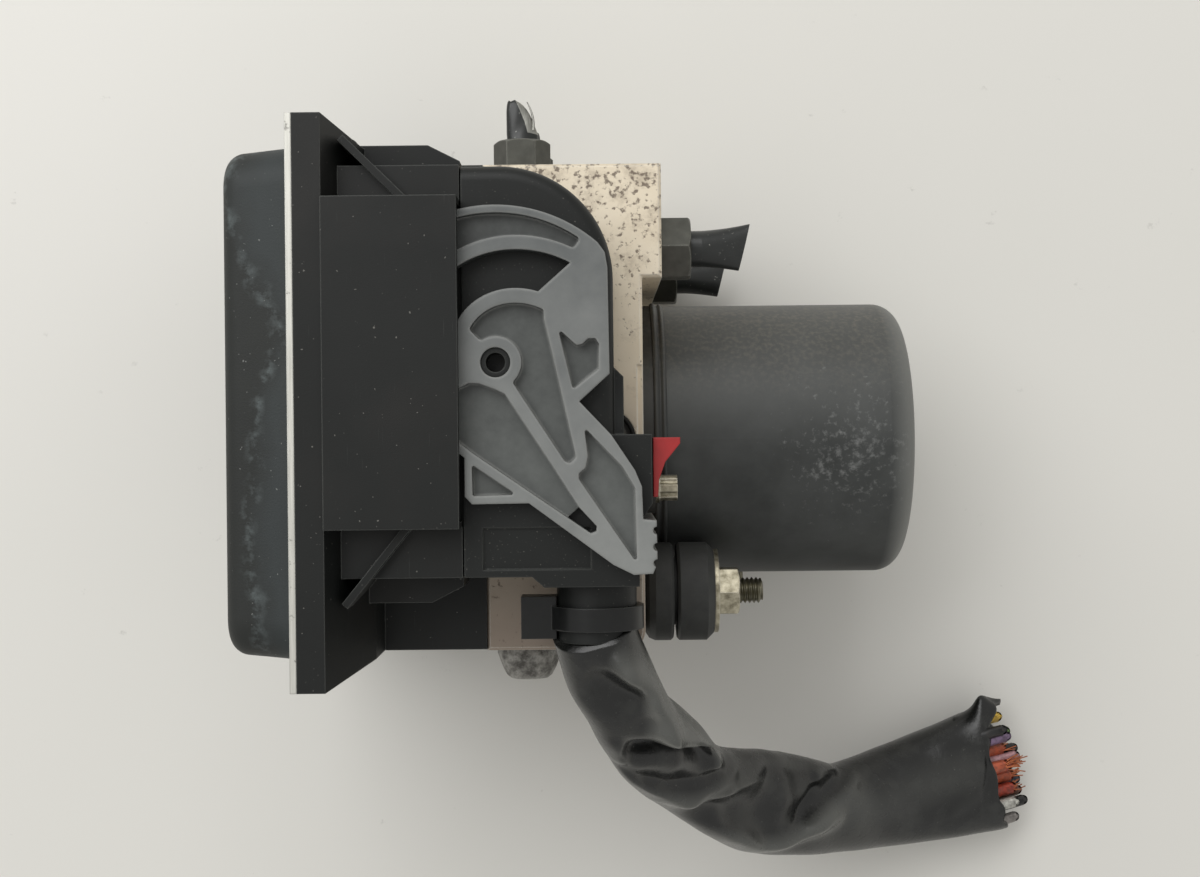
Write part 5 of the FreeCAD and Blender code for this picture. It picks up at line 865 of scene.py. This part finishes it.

# Harness plug: its hood and terminal carrier are moulded in black PA66, a little glossier than
# the control unit, grey on the corners, partly rubbed and partly a painted highlight, and dusty
# round the lever.
# moulded polyamide: black with a soft sheen, speckled with pale dust
plug_plastic, tree, shader, mm = new_finish("black_pa66", 0.44)
fill(tree, shader, {"Specular IOR Level": 0.28})
cloud = add(tree, "TexNoise", {"Vector": mm, "Scale": 0.08, "Detail": 5.0, "Roughness": 0.6})
fine = add(tree, "TexNoise", {"Vector": mm, "Scale": 2.8, "Detail": 3.0})
body = add(tree, "MixRGB", {"Fac": cloud.outputs[0], "Color1": tone("#0e100f"),
                            "Color2": tone("#1b1d1c")})
specks = add(tree, "MapRange", {"Value": fine.outputs[0], "From Min": 0.7, "From Max": 0.74,
                                "To Max": 0.5})
dusted = add(tree, "MixRGB", {"Fac": specks.outputs[0], "Color1": body.outputs[0],
                              "Color2": tone("#8a8880")})
edge, rounded = edge_mask(tree, 0.0005, 0.98, 0.75)
# grey corners: partly wear, partly a painted highlight
edge_wear_and_highlight = add(tree, "MixRGB", {"Fac": edge, "Color1": dusted.outputs[0], "Color2": tone("#4d4f4c")})
bump = add(tree, "Bump", {"Height": fine.outputs[0], "Strength": 0.15, "Distance": 0.0001,
                          "Normal": rounded})
fill(tree, shader, {"Base Color": edge_wear_and_highlight.outputs[0], "Normal": bump.outputs[0]})
coat(["plug_cover", "plug_housing"], plug_plastic)

# Lever: grey glass-filled PBT moulding. Its ribs and smooth fields are paler towards the grip by
# the harness, its sunk floors are darker, partly from dirt and partly from painted shade, and its
# edges are pale, partly from wear and partly from a painted highlight.
# moulded grey plastic: satin, pale on its ribs, grey-white on its edges (partly a painted
# highlight), darker and cloudier in its floors (partly painted shade)
lever_plastic, tree, shader, mm = new_finish("grey_pbt", 0.4)
axes = add(tree, "SeparateXYZ", {0: mm})
cloud = add(tree, "TexNoise", {"Vector": mm, "Scale": 0.1, "Detail": 5.0, "Roughness": 0.6})
fine = add(tree, "TexNoise", {"Vector": mm, "Scale": 2.5, "Detail": 4.0})
low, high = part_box("lever")
# the lever grows paler towards the grip by the harness, over a random cloud
toward_grip = add(tree, "MapRange", {"Value": axes.outputs["Y"], "From Min": high.y * 1000,
                                 "From Max": low.y * 1000, "To Min": -0.4, "To Max": 0.4})
grip_tone = add(tree, "Math", {0: cloud.outputs[0], 1: toward_grip.outputs[0]}, operation="ADD")
paled = add(tree, "MixRGB", {"Fac": grip_tone.outputs[0], "Color1": tone("#575a5a"),
                              "Color2": tone("#818381")})
# the floors lie more than 1 mm below the tops of the ribs; their darker colour is partly dirt and
# partly painted shade
deep = add(tree, "MapRange", {"Value": axes.outputs["Z"], "From Min": 125.3, "From Max": 124.4})
blotch = add(tree, "TexNoise", {"Vector": mm, "Scale": 0.28, "Detail": 6.0, "Roughness": 0.65})
soil = add(tree, "Math", {0: blotch.outputs[0], 1: toward_grip.outputs[0]}, operation="ADD")
dirty = add(tree, "MixRGB", {"Fac": soil.outputs[0], "Color1": tone("#353837"),
                             "Color2": tone("#5c5f5d")})
body = add(tree, "MixRGB", {"Fac": deep.outputs[0], "Color1": paled.outputs[0],
                            "Color2": dirty.outputs[0]})
edge, rounded = edge_mask(tree, 0.0009, 0.98, 0.75)
# grey-white edges: partly wear, partly a painted highlight
edge_wear_and_highlight = add(tree, "MixRGB", {"Fac": edge, "Color1": body.outputs[0], "Color2": tone("#969794")})
bump = add(tree, "Bump", {"Height": fine.outputs[0], "Strength": 0.15, "Distance": 0.0001,
                          "Normal": rounded})
fill(tree, shader, {"Base Color": edge_wear_and_highlight.outputs[0], "Normal": bump.outputs[0]})
coat(["lever"], lever_plastic)

# Lock slide: small red PBT moulding that runs in a groove of the plug's hood beside the lever. It
# is clean and half glossy on its flats, and darker where grime sits on it.
# moulded red plastic: an even warm red, a little cloudy, with a soft light on its rounded edges
red_plastic, tree, shader, mm = new_finish("red_pbt", 0.38)
cloud = add(tree, "TexNoise", {"Vector": mm, "Scale": 0.3, "Detail": 5.0})
body = add(tree, "MixRGB", {"Fac": cloud.outputs[0], "Color1": tone("#861a1b"),
                            "Color2": tone("#ac2526")})
edge, rounded = edge_mask(tree, 0.0004, 0.98, 0.75)
fill(tree, shader, {"Base Color": body.outputs[0], "Normal": rounded})
coat(["lock_slide"], red_plastic)

# Cable tie: black nylon strap and head, moulded in one, drawn tight round the sleeve and the
# outlet. It is a little glossier than the plastics round it, and its edges are grey, partly rubbed
# and partly a painted highlight.
# moulded nylon: deep black with a narrow light along the strap, and grey on its corners, partly
# worn and partly a painted highlight
nylon, tree, shader, mm = new_finish("black_nylon", 0.3)
cloud = add(tree, "TexNoise", {"Vector": mm, "Scale": 0.5, "Detail": 4.0})
body = add(tree, "MixRGB", {"Fac": cloud.outputs[0], "Color1": tone("#0a0b0b"),
                            "Color2": tone("#161717")})
edge, rounded = edge_mask(tree, 0.0004, 0.98, 0.75)
# grey edges: partly wear, partly a painted highlight
edge_wear_and_highlight = add(tree, "MixRGB", {"Fac": edge, "Color1": body.outputs[0], "Color2": tone("#474846")})
fill(tree, shader, {"Base Color": edge_wear_and_highlight.outputs[0], "Normal": rounded, "Specular IOR Level": 0.35})
coat(["cable_tie"], nylon)

# Pieces inside the unit, each in the finish of its trade: ground steel, bronze, bare and enamelled
# copper, sintered ferrite, carbon, glass-epoxy board, amber and black mouldings, silicone.
inner_finishes = [
    ("ground_steel", 0.28, 1.0, "#8c8c88", "#c2c2be", 0.4,
     ["valve_stems", "pump_pistons", "pump_springs", "motor_shaft", "motor_bearings",
      "accumulator_caps", "ball_plugs", "armature", "locator_pin", "mount_sleeves",
      "upper_accumulator_spring", "lower_accumulator_spring"]),
    ("bearing_bronze", 0.35, 1.0, "#8f6a3a", "#bd935a", 0.5, ["eccentric_bearing"]),
    ("commutator_copper", 0.35, 1.0, "#8a4a30", "#cf805a", 0.6,
     ["commutator", "windings", "motor_leads", "wire_terminals", "header_pins", "wire_bundle"]),
    ("sintered_ferrite", 0.7, 0.0, "#26262a", "#3a3a3e", 0.8, ["motor_magnets"]),
    ("pressed_carbon", 0.6, 0.0, "#1d1d1e", "#303031", 1.2, ["brushes"]),
    ("glass_epoxy_board", 0.4, 0.0, "#1d4a2c", "#2b6a3f", 0.2, ["circuit_board"]),
    ("amber_moulding", 0.45, 0.0, "#8a5a24", "#b37a35", 0.3,
     ["solenoid_coils", "brush_plate", "motor_lead_sleeves"]),
    ("black_epoxy", 0.5, 0.0, "#17181a", "#2a2b2d", 0.7, ["board_components"]),
    ("silicone_seal", 0.5, 0.0, "#7a2f22", "#96402f", 0.5, ["ecu_seal", "motor_seal"]),
    ("anodised_piston", 0.4, 1.0, "#8f8f89", "#bcbcb4", 0.4,
     ["upper_accumulator_piston", "lower_accumulator_piston"]),
]
for name, roughness, metallic, dark, pale, scale, names in inner_finishes:
    material, tree, shader, mm = new_finish(name, roughness, metallic)
    cloud = add(tree, "TexNoise", {"Vector": mm, "Scale": scale, "Detail": 4.0})
    body = add(tree, "MixRGB", {"Fac": cloud.outputs[0], "Color1": tone(dark),
                                "Color2": tone(pale)})
    gloss = add(tree, "MapRange", {"Value": cloud.outputs[0], "To Min": roughness * 0.8,
                                   "To Max": roughness * 1.2})
    fill(tree, shader, {"Base Color": body.outputs[0], "Roughness": gloss.outputs[0]})
    coat(names, material)
